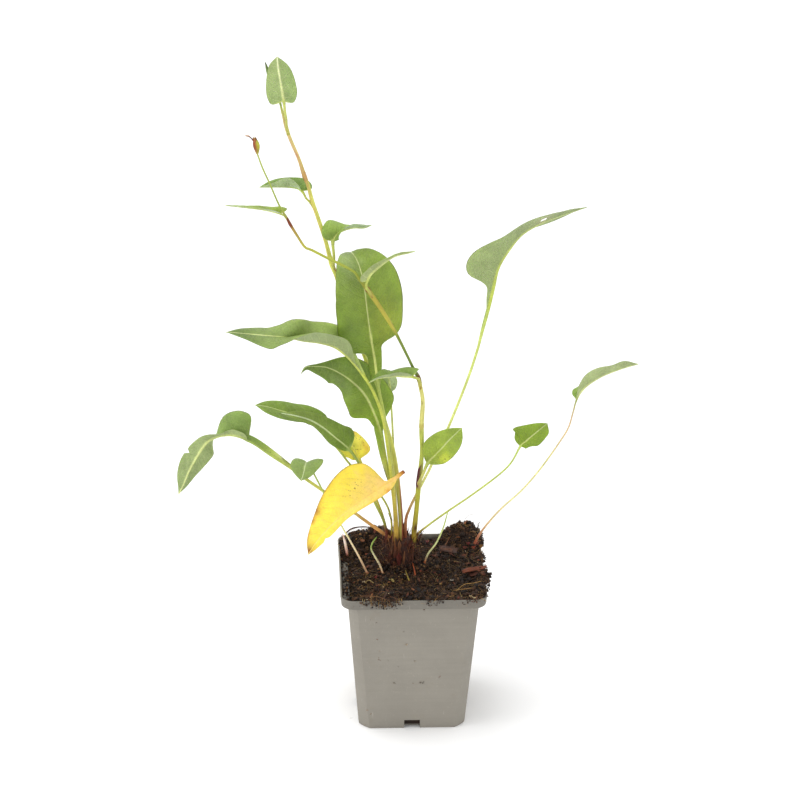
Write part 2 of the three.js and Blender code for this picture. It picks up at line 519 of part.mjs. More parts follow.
// Stems, bare stalk, shoots and flower head: points with the radius at each
const stems = {
  stem_tall: {
    points: [[-6.3, 0.5, 106, 1.7], [-6.7, 1, 119, 1.7], [-6.8, 2.8, 129.5, 1.6], [-9, 6.5, 155.3, 1.6],
      [-12, 9, 173.6, 1.6], [-17, 11, 192.1, 1.5], [-22.5, 12, 213.4, 1.5], [-28, 11.8, 230.7, 1.5],
      [-35, 11, 251.1, 1.4], [-42, 10.5, 272.3, 1.4], [-47, 11, 289, 1.4], [-49.5, 12, 296, 1.7],
      [-53, 12, 310.5, 1.4], [-57, 12.5, 323.5, 1.4], [-61, 13, 336, 1.4], [-63, 13, 344.5, 1.3],
      [-65.5, 13.2, 351.5, 1.5], [-68.5, 14.5, 361, 1.2], [-73.5, 16, 373, 1.2], [-76, 16.5, 380.5, 1.2],
      [-77.5, 16.5, 387.5, 1], [-79, 16.5, 393.5, 0.7]],
    step: 9,
    look: finish.tallStem,
  },
  stem_bud: {
    points: [[1.3, 0.5, 106, 1.6], [1.5, 0.5, 119, 1.6], [3, 0, 138.5, 1.5], [4, -1, 155, 1.8],
      [5.5, -2.5, 175, 1.4], [5, -4.5, 196, 1.6], [5.5, -6, 212, 1.4], [4, -7.5, 222, 1.3],
      [2.5, -8, 229, 1.5], [-1, -9, 236.5, 1.1], [-4.5, -9.5, 244.5, 1], [-12.5, -11.5, 262, 1.2],
      [-21.5, -13, 278, 1.4], [-29, -14, 290, 1.5], [-33.5, -14, 296, 1.2], [-36.5, -13.5, 300.5, 1.1],
      [-44.5, -12.5, 305, 1.1], [-52, -11.5, 308.5, 1.1], [-61.5, -9.5, 313, 1.1], [-65.5, -8.5, 314.5, 1.1],
      [-69.5, -7.5, 320.5, 1.1], [-74, -6.5, 328, 1.3], [-76, -6, 332, 1], [-80.5, -5.5, 340, 0.7],
      [-86, -5, 353.5, 0.6], [-90, -5, 363, 0.6], [-93, -5, 372, 0.6]],
    step: 8,
    look: finish.budStem,
  },
  stalk_bare: {
    points: [[7.2, -1, 93, 0.9], [7.6, -0.5, 97, 0.9], [10.3, 1, 104.5, 0.8], [15.5, 2.5, 111.5, 0.7],
      [19.8, 4, 121.5, 0.7], [22.4, 5, 131.5, 0.5]],
    step: 6,
    look: finish.stalk,
  },
  flower_bud: {
    points: [[-93.2, -5, 372.6, 0.6], [-93.7, -5, 375.5, 1.6], [-94.7, -5, 379, 2], [-96.3, -5, 381.6, 1],
      [-98, -5, 383, 0.6], [-100, -5, 383, 0.5]],
    step: 1.6,
    look: finish.bud,
  },
  tall_leaf_young: {
    points: [[-78.5, 18.3, 388.5, 0.4], [-79, 18.6, 393.5, 0.7], [-82, 19, 403, 1.4], [-86, 19.5, 413.5, 1.2],
      [-88, 20, 419.5, 0.3]],
    step: 5,
    look: finish.leaf,
  },
  sprout_pale: {
    points: [[-39, 21.5, 93, 1], [-39.7, 23, 97, 1.2], [-40.7, 25.5, 101.5, 1], [-42, 28, 105.5, 0.3]],
    step: 3.5,
    look: finish.sprout,
  },
  sprout_green: {
    points: [[-17.5, -8, 95, 0.9], [-20, -4, 100.5, 1], [-23, 0, 104.5, 0.9], [-25, 1, 109, 0.8],
      [-24, 1, 113, 0.8], [-21.5, 2, 116.5, 0.3]],
    step: 3.5,
    look: finish.sprout,
  },
};

// Bark in the compost: middle, size and turn in degrees
const bark = {
  bark_chunk: { at: [38.5, -12, 99.5], size: [15.5, 6, 3.4], turn: [6, -8, 12] },
  bark_flake: { at: [23.5, 12, 101.5], size: [11, 5, 2], turn: [-20, 5, -8] },
};

// One corner-rounded square ring; softness runs from a straight cut corner to a round one
function squareRing(half, corner, softness, z) {
  const ring = [];
  for (let side = 0; side < 4; side += 1) {
    for (let i = 0; i <= CORNER_STEPS; i += 1) {
      const share = i / CORNER_STEPS;
      const angle = (Math.PI / 2) * share;
      const round = [half - corner + corner * Math.cos(angle), half - corner + corner * Math.sin(angle)];
      const cut = [half - corner * share, half - corner + corner * share];
      const x = THREE.MathUtils.lerp(cut[0], round[0], softness);
      const y = THREE.MathUtils.lerp(cut[1], round[1], softness);
      const point = new THREE.Vector3(x, y, z);
      ring.push(point.applyAxisAngle(new THREE.Vector3(0, 0, 1), (side * Math.PI) / 2));
    }
  }
  return ring;
}

const bodyHalf = (z) => THREE.MathUtils.lerp(BODY_BASE_HALF, BODY_TOP_HALF, z / LEDGE_Z);
function potShell() {
  const ledgeTop = LEDGE_Z + POT_WALL;
  const rings = [
    squareRing(BODY_BASE_HALF, BODY_BASE_CUT, CORNER_SOFTNESS, 0),
    squareRing(BODY_TOP_HALF, BODY_TOP_CUT, CORNER_SOFTNESS, LEDGE_Z),
    squareRing(RIM_HALF - RIM_DRAFT, RIM_CORNER, 1, LEDGE_Z),
    squareRing(RIM_HALF, RIM_CORNER, 1, POT_HEIGHT),
    squareRing(RIM_HALF - RIM_WALL, RIM_CORNER - RIM_WALL, 1, POT_HEIGHT),
    squareRing(RIM_HALF - RIM_DRAFT - RIM_WALL, RIM_CORNER - RIM_WALL, 1, ledgeTop),
    squareRing(BODY_TOP_HALF - POT_WALL, BODY_TOP_CUT - INNER_CORNER, CORNER_SOFTNESS, ledgeTop),
    squareRing(bodyHalf(POT_FLOOR) - POT_WALL, BODY_BASE_CUT - INNER_CORNER, CORNER_SOFTNESS, POT_FLOOR),
  ];
  return toSolid(loft(rings, new THREE.Vector3(0, 0, 0), new THREE.Vector3(0, 0, POT_FLOOR)));
}

function potOutside() {
  const rings = [
    squareRing(BODY_BASE_HALF, BODY_BASE_CUT, CORNER_SOFTNESS, 0),
    squareRing(BODY_TOP_HALF, BODY_TOP_CUT, CORNER_SOFTNESS, LEDGE_Z),
  ];
  return toSolid(loft(rings, new THREE.Vector3(0, 0, 0), new THREE.Vector3(0, 0, LEDGE_Z)));
}

// The space inside the pot, kept clear of the walls by the gap and open upwards
function potInside() {
  const ledgeTop = LEDGE_Z + POT_WALL + GAP;
  const floor = POT_FLOOR + GAP;
  const wall = POT_WALL + GAP;
  const high = POT_HEIGHT + 30;
  const rings = [
    squareRing(bodyHalf(floor) - wall, BODY_BASE_CUT - INNER_CORNER, CORNER_SOFTNESS, floor),
    squareRing(BODY_TOP_HALF - wall, BODY_TOP_CUT - INNER_CORNER, CORNER_SOFTNESS, ledgeTop),
    squareRing(RIM_HALF - RIM_DRAFT - RIM_WALL - GAP, RIM_CORNER - RIM_WALL, 1, ledgeTop),
    squareRing(RIM_HALF - RIM_WALL - GAP, RIM_CORNER - RIM_WALL, 1, POT_HEIGHT + GAP),
    squareRing(RIM_HALF * 2, RIM_CORNER, 1, POT_HEIGHT + GAP),
    squareRing(RIM_HALF * 2, RIM_CORNER, 1, high),
  ];
  return toSolid(loft(rings, new THREE.Vector3(0, 0, floor), new THREE.Vector3(0, 0, high)));
}

// A block that starts at the middle of one side of the base and reaches inwards
function sideBlock(side, width, depth, bottom, top) {
  const outer = BODY_TOP_HALF;
  const inner = BODY_BASE_HALF - depth;
  const block = new THREE.BoxGeometry(outer - inner, width, top - bottom);
  block.translate((outer + inner) / 2, 0, (top + bottom) / 2);
  block.rotateZ((side * Math.PI) / 2);
  block.deleteAttribute("normal");
  block.deleteAttribute("uv");
  return toSolid(mergeCorners(block));
}

// A box's faces share their corners only after equal points are merged
function mergeCorners(box) {
  const source = box.getAttribute("position");
  const index = Array.from(box.getIndex().array);
  const seen = new Map();
  const positions = [];
  const mapped = index.map((vertex) => {
    const point = [source.getX(vertex), source.getY(vertex), source.getZ(vertex)];
    const key = point.map((value) => value.toFixed(4)).join(" ");
    if (!seen.has(key)) {
      seen.set(key, positions.length / 3);
      positions.push(...point);
    }
    return seen.get(key);
  });
  const merged = new THREE.BufferGeometry();
  merged.setAttribute("position", new THREE.Float32BufferAttribute(positions, 3));
  merged.setIndex(mapped);
  return merged;
}

function notchHumps(growth) {
  const wall = POT_WALL + growth;
  let humps = null;
  for (let side = 0; side < 4; side += 1) {
    const hump = sideBlock(side, NOTCH_WIDTH + 2 * wall, NOTCH_DEPTH + wall, 0, NOTCH_HEIGHT + wall);
    humps = humps ? humps.add(hump) : hump;
  }
  return humps;
}

function potGeometry() {
  let pot = potShell().add(notchHumps(0).intersect(potOutside()));
  for (let side = 0; side < 4; side += 1) {
    pot = pot.subtract(sideBlock(side, NOTCH_WIDTH, NOTCH_DEPTH, -1, NOTCH_HEIGHT));
    const drainBottom = NOTCH_HEIGHT - DRAIN_HEIGHT;
    pot = pot.subtract(sideBlock(side, DRAIN_WIDTH, NOTCH_DEPTH + 3, drainBottom, NOTCH_HEIGHT));
  }
  return toGeometry(pot);
}

// Mounds and hollows of the compost: place, height and spread
const soilMounds = [
  { x: -33, y: 32, rise: 10, spread: 10 },
  { x: -17, y: 34, rise: 12, spread: 10 },
  { x: 35, y: 33, rise: 16, spread: 12 },
  { x: -6, y: 4, rise: 6, spread: 16 },
  { x: 46, y: -14, rise: 6, spread: 11 },
  { x: 46, y: 10, rise: 4, spread: 10 },
  { x: 42, y: -34, rise: 4.5, spread: 10 },
  { x: -16, y: -40, rise: 3.6, spread: 12 },
  { x: 12, y: -36, rise: 3.5, spread: 14 },
  { x: 24, y: 0, rise: 4, spread: 13 },
  { x: -44, y: -22, rise: -5.5, spread: 12 },
  { x: -44, y: 6, rise: -5.5, spread: 12 },
  { x: 12, y: 42, rise: -1.5, spread: 8 },
];

function soilHeight(x, y) {
  let z = SOIL_LEVEL;
  for (const mound of soilMounds) {
    const distance = Math.hypot(x - mound.x, y - mound.y) / mound.spread;
    z += mound.rise * Math.exp(-(distance ** 2));
  }
  const lumps = Math.sin(0.62 * x + 0.4 * y) * Math.cos(0.55 * y - 0.27 * x);
  const clods = Math.sin(1.31 * x + 2) * Math.sin(1.17 * y + 1);
  return z + LUMP_RISE * lumps + CLOD_RISE * clods;
}

// The heap: a closed block whose top follows the mounds and whose outline is a rounded square
function soilHeap() {
  const place = (i, j) => {
    const u = (2 * i) / SOIL_GRID - 1;
    const v = (2 * j) / SOIL_GRID - 1;
    const pull = SOIL_CORNER_PULL * u ** 4 * v ** 4;
    const x = (u < 0 ? -SOIL_LEFT : SOIL_RIGHT) * u * (1 - pull);
    const y = (v < 0 ? -SOIL_FRONT : SOIL_BACK) * v * (1 - pull);
    return [x, y];
  };
  const rings = [];
  const half = SOIL_GRID / 2;
  for (let ring = half; ring >= 1; ring -= 1) {
    const points = [];
    for (let side = 0; side < 4; side += 1) {
      for (let k = 0; k < 2 * half; k += 1) {
        const run = (ring * (k - half)) / half;
        const corner = [[run, -ring], [ring, run], [-run, ring], [-ring, -run]][side];
        const [x, y] = place(corner[0] + half, corner[1] + half);
        points.push(new THREE.Vector3(x, y, soilHeight(x, y)));
      }
    }
    rings.push(points);
  }
  const bottom = rings[0].map((point) => new THREE.Vector3(point.x, point.y, POT_WALL));
  const centre = new THREE.Vector3(0, 0, soilHeight(0, 0));
  return toSolid(loft([bottom, ...rings], new THREE.Vector3(0, 0, POT_WALL), centre));
}

// The crown: a lumpy upright knot, wider at the foot
function crownSolid(growth) {
  const levels = [
    [CROWN.base, 1], [CROWN.base + 9, 1.03], [CROWN.base + 16, 1.02], [CROWN.base + 22, 0.96],
    [CROWN.top, 0.84],
  ];
  const rings = levels.map(([z, scale], level) => {
    const ring = [];
    for (let i = 0; i < CROWN.sides; i += 1) {
      const angle = (i * 2 * Math.PI) / CROWN.sides;
      const lump = 1 + 0.05 * Math.sin(4 * angle + level) + 0.04 * Math.cos(3 * angle - 2 * level);
      const x = CROWN.x + (CROWN.radiusX * scale * lump + growth) * Math.cos(angle);
      const y = CROWN.y + (CROWN.radiusY * scale * lump + growth) * Math.sin(angle);
      const top = level === levels.length - 1 ? 1.2 * Math.sin(3 * angle + 1) + growth : 0;
      ring.push(new THREE.Vector3(x, y, z + top - (level === 0 ? growth : 0)));
    }
    return ring;
  });
  const first = new THREE.Vector3(CROWN.x, CROWN.y, CROWN.base - growth);
  const last = new THREE.Vector3(CROWN.x, CROWN.y, CROWN.top + growth);
  return toSolid(loft(rings, first, last));
}

function barkBlock({ at, size, turn }, growth) {
  const block = new THREE.BoxGeometry(...size.map((value) => value + 2 * growth));
  const turned = turn.map((degrees) => THREE.MathUtils.degToRad(degrees));
  block.applyMatrix4(new THREE.Matrix4().makeRotationFromEuler(new THREE.Euler(...turned)));
  block.translate(...at);
  return mergeCorners(block);
}

const CROWN_FEET = [
  "leaf_oval", "leaf_hooked", "leaf_wavy", "leaf_small", "leaf_upper_left", "leaf_lower_left",
  "leaf_yellowing", "leaf_far_left", "leaf_far_right", "leaf_right_heart",
];
const SOIL_FEET = ["leaf_nodding", "leaf_right_arch"];
const SOIL_STEMS = ["stalk_bare", "sprout_pale", "sprout_green"];

function crownGeometry() {
  let crown = crownSolid(0);
  for (const name of CROWN_FEET) {
    crown = crown.subtract(leafSleeve(leaves[name]));
  }
  crown = crown.subtract(stemSleeve(stems.stem_tall));
  crown = crown.subtract(stemSleeve(stems.stem_bud));
  return toGeometry(crown);
}

function compostGeometry() {
  let compost = soilHeap().intersect(potInside());
  compost = compost.subtract(notchHumps(GAP));
  compost = compost.subtract(crownSolid(GAP));
  for (const name of SOIL_FEET) {
    compost = compost.subtract(leafSleeve(leaves[name]));
  }
  for (const name of SOIL_STEMS) {
    compost = compost.subtract(stemSleeve(stems[name]));
  }
  for (const block of Object.values(bark)) {
    compost = compost.subtract(toSolid(barkBlock(block, GAP)));
  }
  return toGeometry(compost);
}

const bistort = new THREE.Group();
bistort.add(piece("pot", potGeometry(), finish.pot));
bistort.add(piece("compost", compostGeometry(), finish.compost));
bistort.add(piece("crown", crownGeometry(), finish.crown));
for (const [name, stem] of Object.entries(stems)) {
  bistort.add(piece(name, stemGeometry(stem), stem.look));
}
for (const [name, leaf] of Object.entries({ ...leaves, ...stemLeaves })) {
  bistort.add(piece(name, leafGeometry(leaf), leaf.look ?? finish.leaf));
}
for (const [name, block] of Object.entries(bark)) {
  bistort.add(piece(name, barkBlock(block, 0), finish.bark));
}

export default bistort;
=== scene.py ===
"""A young common bistort in its square nursery pot.

Each operator dresses one piece, or one group of like pieces, of the loaded frame. Lines and sizes in
the tables are in millimetres in the frame's own axes; meshes are made in metres.
"""

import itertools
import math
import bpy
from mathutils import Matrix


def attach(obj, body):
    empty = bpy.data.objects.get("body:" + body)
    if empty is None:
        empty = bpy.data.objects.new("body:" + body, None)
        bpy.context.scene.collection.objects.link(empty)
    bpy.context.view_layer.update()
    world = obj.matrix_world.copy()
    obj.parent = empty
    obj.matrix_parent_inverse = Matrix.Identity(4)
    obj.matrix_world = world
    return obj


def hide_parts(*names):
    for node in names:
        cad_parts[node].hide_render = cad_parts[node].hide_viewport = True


bl_info = {
    "name": "Potted common bistort",
    "version": (1, 0, 0),
    "blender": (4, 5, 0),
    "location": "3D View > Sidebar > Bistort",
    "description": "Grows the leaves, stems, flower head, crown, compost and pot of a young common bistort",
    "category": "Add Mesh",
}

import bpy
import numpy as np
from mathutils import Euler, Matrix, Vector, noise

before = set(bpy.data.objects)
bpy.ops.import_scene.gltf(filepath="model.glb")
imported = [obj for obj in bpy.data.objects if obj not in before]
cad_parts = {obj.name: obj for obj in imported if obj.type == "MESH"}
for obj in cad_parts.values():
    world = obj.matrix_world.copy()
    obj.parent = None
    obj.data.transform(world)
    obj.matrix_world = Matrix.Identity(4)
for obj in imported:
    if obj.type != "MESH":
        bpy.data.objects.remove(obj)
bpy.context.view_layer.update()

MM = 0.001
SEED = 41

# Leaves: points of the stalk and of the midrib, the upward side from the blade's base to its tip, and
# rows of place, left half-width, left lift, right half-width, right lift. A lobe sweeps the margins of
# the base backwards by that share of their half-width.
BASAL_LEAVES = {
    "leaf_oval": {
        "stalk": [(-10, -1, 106), (-10, -0.8, 127.5), (-11.2, 0, 145), (-13.5, 1.2, 172), (-16.5, 2, 193),
            (-20, 2, 212)],
        "rib": [(-21.5, 1.5, 220), (-23.5, 1, 237), (-26, -1, 252.5), (-28.5, -3, 271.5), (-30, -3.5, 284.5),
            (-32.5, -2, 297), (-35, 2, 302.5), (-37.5, 8, 304), (-38.5, 15, 301)],
        "up": [(0, -1, 0.3), (-0.1, -0.2, 1)],
        "blade": [(0, 1.5, 0, 1.5, 0), (0.1, 4, 0, 3.5, 0), (0.22, 5, 5, 5, 5), (0.26, 11, 17, 5.8, 0),
            (0.285, 14.5, 21, 9, 0), (0.31, 17, 24, 14, 0), (0.36, 19.5, 22.5, 18.7, -3),
            (0.42, 21, 21, 20.7, -5), (0.58, 20, 22, 22.3, -5), (0.72, 19, 20, 21.3, -5),
            (0.83, 14.5, 12, 16, 0), (0.93, 6.5, 5, 6.6, 5)],
        "radius": (1.2, 1),
    },
    "leaf_hooked": {
        "stalk": [(-10, 2.2, 106), (-10, 2.6, 130), (-11.5, 3.6, 147), (-14.5, 4, 158.5), (-17, 4.6, 172.5)],
        "rib": [(-19.5, 5.8, 186.5), (-24, 6.5, 200), (-29.5, 6, 211.8), (-37, 3, 221.6), (-45, -2.5, 230),
            (-52.5, -8, 236.2), (-59.5, -12, 238.7), (-65.5, -15, 239.7), (-68.5, -17, 236.2)],
        "up": [(0.1, -0.97, 0.2), (0, -0.9, 0.4), (-0.3, -0.5, 0.8)],
        "blade": [(0, 1.5, 0, 1.5, 0), (0.08, 3.5, 0, 5, 0), (0.15, 5.5, 5, 11.5, 5),
            (0.22, 13.2, 5, 15.4, 10), (0.3, 14, 10, 15.4, 10), (0.42, 12.6, 10, 15, 18),
            (0.55, 9.2, 15, 15, 22), (0.66, 8, 10, 11.5, 24), (0.78, 9.8, 5, 3.6, 30), (0.9, 4, 0, 1, 30)],
        "lobe": (0.25, 0),
        "radius": (1.2, 1),
    },
    "leaf_wavy": {
        "stalk": [(-9.5, -4.5, 106), (-10, -4.2, 131), (-12, -3.2, 151.5), (-15, -2.6, 178),
            (-18.5, -2.3, 200), (-24, -2.5, 216.5)],
        "rib": [(-30, -3.5, 228), (-36, -5, 237), (-41.5, -7, 244), (-49, -10, 250.5), (-58, -14, 255),
            (-67, -18, 258), (-76, -22, 262), (-91.5, -28, 266.5), (-102.5, -31, 269), (-112.5, -33, 271)],
        "up": [(0, -0.3, 1), (0, -0.3, 1)],
        "blade": [(0, 1.2, 40, 1.2, 40), (0.08, 3, 50, 3, 45), (0.14, 6, 35, 6, 30), (0.2, 10, 40, 10, 45),
            (0.28, 13, 60, 13, 60), (0.36, 14, 60, 13.5, 50), (0.44, 14, 60, 13, 40), (0.52, 13, 60, 13, 60),
            (0.59, 12.5, 45, 12.5, 70), (0.65, 11.5, 25, 8.5, 30), (0.7, 11, 10, 9, 0),
            (0.76, 11.5, -5, 8.5, -5), (0.9, 5, 0, 5, 0)],
        "radius": (1.2, 1),
    },
    "leaf_small": {
        "stalk": [(-10, 5.5, 106), (-9.5, 9, 129.5), (-10.5, 12.5, 154), (-11.5, 14, 178.5),
            (-12.5, 14, 197)],
        "rib": [(-13.5, 13.5, 209.8), (-14, 13, 215.5), (-14.3, 12.5, 220.5), (-14.5, 12.2, 225.5)],
        "up": [(0.1, 0.95, -0.3), (0.1, 0.95, -0.3)],
        "blade": [(0, 0.8, 0, 0.8, 0), (0.12, 3.5, 10, 3.5, 10), (0.45, 5, 10, 5, 10), (0.8, 3, 10, 3, 10)],
        "radius": (0.8, 0.6),
    },
    "leaf_upper_left": {
        "stalk": [(-12, 4.5, 106), (-12.5, 5.5, 126.5), (-17, 5.5, 140), (-26.5, 5, 152), (-37.5, 3.5, 165),
            (-45, 2.5, 176), (-52.5, 2, 185.5)],
        "rib": [(-58.5, 1.5, 192.5), (-65.5, 0.5, 198.5), (-73, -1, 202), (-80.5, -3, 205.5), (-88, -5, 209),
            (-96, -7, 211.5)],
        "up": [(0, -0.5, 0.9), (0, -0.5, 0.9)],
        "blade": [(0, 1.1, 10, 1.1, 10), (0.04, 1.8, 10, 8, 20), (0.11, 3, 20, 9.5, 20),
            (0.22, 6.5, 30, 9.5, 10), (0.38, 9.5, 30, 9, 0), (0.55, 10, 25, 8, 0), (0.72, 9, 20, 6, 0),
            (0.87, 6, 15, 3.5, 0)],
        "lobe": (0, 0.6),
        "radius": (0.8, 0.8),
    },
    "leaf_lower_left": {
        "stalk": [(-14.5, 1.5, 106), (-16.5, 0.5, 125.5), (-23, -2, 142.5), (-28.5, -2.4, 158.2),
            (-33.5, -2.6, 170.6)],
        "rib": [(-39, -4, 179.5), (-47, -6, 188), (-54.5, -8, 196), (-62, -11, 202.5), (-70.5, -14, 207),
            (-80, -17, 210.5)],
        "up": [(0, -0.6, 0.8), (0, -0.6, 0.8)],
        "blade": [(0, 1.2, 10, 1.2, 10), (0.06, 3.5, 10, 9, 10), (0.13, 5, 10, 11.5, 10),
            (0.25, 5.5, 0, 9.5, 15), (0.4, 4, -20, 7.5, 15), (0.6, 2.5, -30, 5.5, 10),
            (0.8, 2, -30, 3.5, 10)],
        "lobe": (0, 0.2),
        "radius": (1.1, 0.9),
    },
    "leaf_yellowing": {
        "stalk": [(-13.5, 8, 106), (-17, 9, 125), (-22.5, 9.5, 141), (-27.5, 9, 154), (-30.5, 8.5, 162.5)],
        "rib": [(-32.5, 8, 167), (-35.5, 8, 174), (-40, 7.5, 180.5), (-45, 7, 185.5), (-50, 6, 189.5)],
        "up": [(0, -0.9, 0.4), (0, -0.9, 0.4)],
        "blade": [(0, 1.2, 0, 1.2, 0), (0.07, 4, 10, 6, 10), (0.15, 5.5, 10, 9, 10), (0.3, 8.5, 10, 9, 10),
            (0.5, 8, 10, 8, 10), (0.7, 6.5, 10, 7, 10), (0.88, 3.5, 10, 4, 10)],
        "lobe": (0.1, 0.1),
        "radius": (1, 0.8),
    },
    "leaf_withered": {
        "stalk": [(-5.5, -8.5, 166.5), (-7.5, -9.5, 165.5)],
        "rib": [(-10.5, -11, 163.5), (-16.5, -13.5, 160.5), (-24, -16.5, 156.5), (-32.5, -20, 152),
            (-42, -23.5, 146), (-50.5, -27, 139), (-58.5, -29.5, 130.5), (-64.5, -30.5, 121.5)],
        "up": [(-0.35, -0.55, 0.75), (-0.35, -0.6, 0.7)],
        "blade": [(0, 1.3, 10, 1.3, 10), (0.05, 4, 10, 1.8, 10), (0.095, 5.6, 10, 2.6, 10),
            (0.12, 6.2, 10, 10.5, 20), (0.145, 6.5, 10, 16, 20), (0.18, 6.5, 10, 19.5, 20),
            (0.28, 6.5, 10, 22.7, 20), (0.41, 5.6, 10, 22, 20), (0.55, 5, 10, 18.5, 15),
            (0.69, 5.4, 10, 14, 10), (0.82, 4.6, 10, 9.5, 10), (0.93, 2.5, 10, 5, 10)],
        "lobe": (0.1, 0.1),
        "radius": (0.8, 1.2),
    },
    "leaf_far_left": {
        "stalk": [(-9.5, 4, 110), (-15, 4.6, 115.5), (-27, 6, 124.5), (-41, 8, 135), (-55, 10, 145),
            (-64, 11, 151.5), (-74.5, 12.5, 159.5), (-87, 14, 168), (-95.5, 14.5, 174.5)],
        "rib": [(-101, 15, 177.5), (-107.5, 15, 180), (-114, 14.5, 181), (-120.5, 13, 180.5),
            (-126.5, 11, 177), (-132, 8, 169.5), (-137, 5, 161), (-140.5, 3, 153), (-143.5, 1.5, 147.5)],
        "up": [(0, -0.2, 1), (0, 0.3, 0.9), (-0.1, 0.9, -0.2), (-0.3, 0.9, -0.1), (-0.4, 0.9, -0.1)],
        "blade": [(0, 1.3, 45, 3, 50), (0.04, 4, 70, 13.5, 64), (0.1, 5, 68, 16, 66),
            (0.17, 5.5, 62, 15.2, 62), (0.23, 5.2, 40, 12.5, 50), (0.29, 4.6, 15, 6, 20),
            (0.36, 5, 10, 6, 10), (0.45, 6, 10, 8.5, 10), (0.55, 7.5, 10, 8.5, 10), (0.7, 8, 10, 7, 10),
            (0.86, 5, 10, 4, 10)],
        "radius": (1.2, 1),
    },
    "leaf_nodding": {
        "stalk": [(-26.5, -4, 92), (-32, -4, 104.5), (-38, -2.5, 116), (-43.5, 0, 125.5), (-50, 2.5, 137),
            (-55.5, 4, 149), (-60, 4.5, 158.5)],
        "rib": [(-63.5, 2.5, 166.5), (-65, -1, 169.5), (-66, -7, 169.5), (-67, -13, 167.5),
            (-68.5, -18, 165.5)],
        "up": [(0, 0.3, 1), (0, -0.5, 0.9)],
        "blade": [(0, 0.9, 20, 0.9, 20), (0.12, 7, 20, 6, 20), (0.26, 11, 15, 8.5, 10),
            (0.45, 10.5, 10, 9, 0), (0.65, 8, 10, 7.5, 0), (0.85, 4.5, 10, 4.5, 0)],
        "radius": (0.9, 0.7),
    },
    "leaf_far_right": {
        "stalk": [(-3.5, 4, 106), (-3.5, 4.5, 125.5), (-2, 5, 132), (1.5, 5.5, 140.5), (7, 5.5, 152.5),
            (11.5, 5.5, 162.5), (17.5, 6, 178.5), (22.5, 6.5, 190), (32.5, 8, 217.5), (38.5, 10, 236.5),
            (41.5, 11.5, 248)],
        "rib": [(45.5, 14, 263), (48.5, 17, 275.5), (51.5, 20.5, 287), (57.5, 25, 297), (66, 31, 305.5),
            (78, 38, 310), (90, 46, 311.5), (107.5, 57, 313)],
        "up": [(-0.95, 0.1, 0.2), (-0.7, 0.1, 0.7), (-0.1, 0.1, 1)],
        "blade": [(0, 1.3, 30, 1.3, 60), (0.08, 3, 20, 3, 75), (0.15, 4.5, 10, 4.5, 80),
            (0.185, 6, 10, 9, 80), (0.215, 10, 10, 17, 80), (0.25, 14, 10, 20.5, 78), (0.3, 17, 10, 21, 68),
            (0.36, 17.6, 10, 19.4, 50), (0.42, 16.4, 5, 18, 36), (0.5, 17, 0, 18.8, 26),
            (0.6, 15.6, -5, 17.2, 22), (0.72, 12, -15, 13, 20), (0.86, 7.4, -25, 8.4, 25)],
        "lobe": (0.15, 0.4),
        "radius": (1.3, 1),
    },
    "leaf_right_heart": {
        "stalk": [(3, 4, 106), (3.5, 5, 115.5), (10.5, 7, 121.5), (22.5, 9, 130), (37.5, 10.5, 140.5),
            (53.5, 11, 153.5), (61.5, 11.5, 162)],
        "rib": [(67, 12, 173), (70, 12, 176), (75.5, 12.5, 181), (79.5, 13, 184.5), (83.5, 14, 187.5)],
        "up": [(-0.1, -0.9, 0.45), (-0.1, -0.9, 0.45)],
        "blade": [(0, 0.8, 0, 0.8, 0), (0.08, 6, 10, 3.5, 10), (0.18, 10.5, 10, 4, 10),
            (0.27, 11, 10, 5, 10), (0.4, 9.5, 10, 7, 10), (0.55, 7.5, 10, 7, 10), (0.7, 5.5, 10, 6.5, 10),
            (0.88, 2.5, 10, 5, 10)],
        "lobe": (0.15, 0.1),
        "radius": (0.9, 0.6),
    },
    "leaf_right_arch": {
        "stalk": [(39.5, 21, 99), (43.5, 22.5, 106.5), (48.5, 23, 114), (57, 24, 124), (69, 25, 135.5),
            (77.5, 26, 145.5), (85, 26, 156.5), (92, 26, 168), (97.5, 25.5, 178.5), (100, 25, 189)],
        "rib": [(102, 25, 198), (105, 25, 204), (110, 26, 208.5), (118.5, 28, 213), (129.5, 31, 216),
            (140.5, 34, 218)],
        "up": [(-0.9, 0.1, 0.3), (-0.5, 0.1, 0.8), (-0.1, 0.1, 1)],
        "blade": [(0, 0.9, 20, 0.9, 20), (0.05, 3.5, 70, 2, 30), (0.1, 5, 65, 4, 30),
            (0.15, 5.5, 30, 6.5, 35), (0.2, 8.5, 5, 8.5, 40), (0.3, 11, 0, 11, 47), (0.45, 11.5, -5, 12, 45),
            (0.62, 9.5, -10, 10, 42), (0.82, 6, -20, 6.5, 55)],
        "lobe": (0.3, 0),
        "radius": (1, 0.7),
    },
}

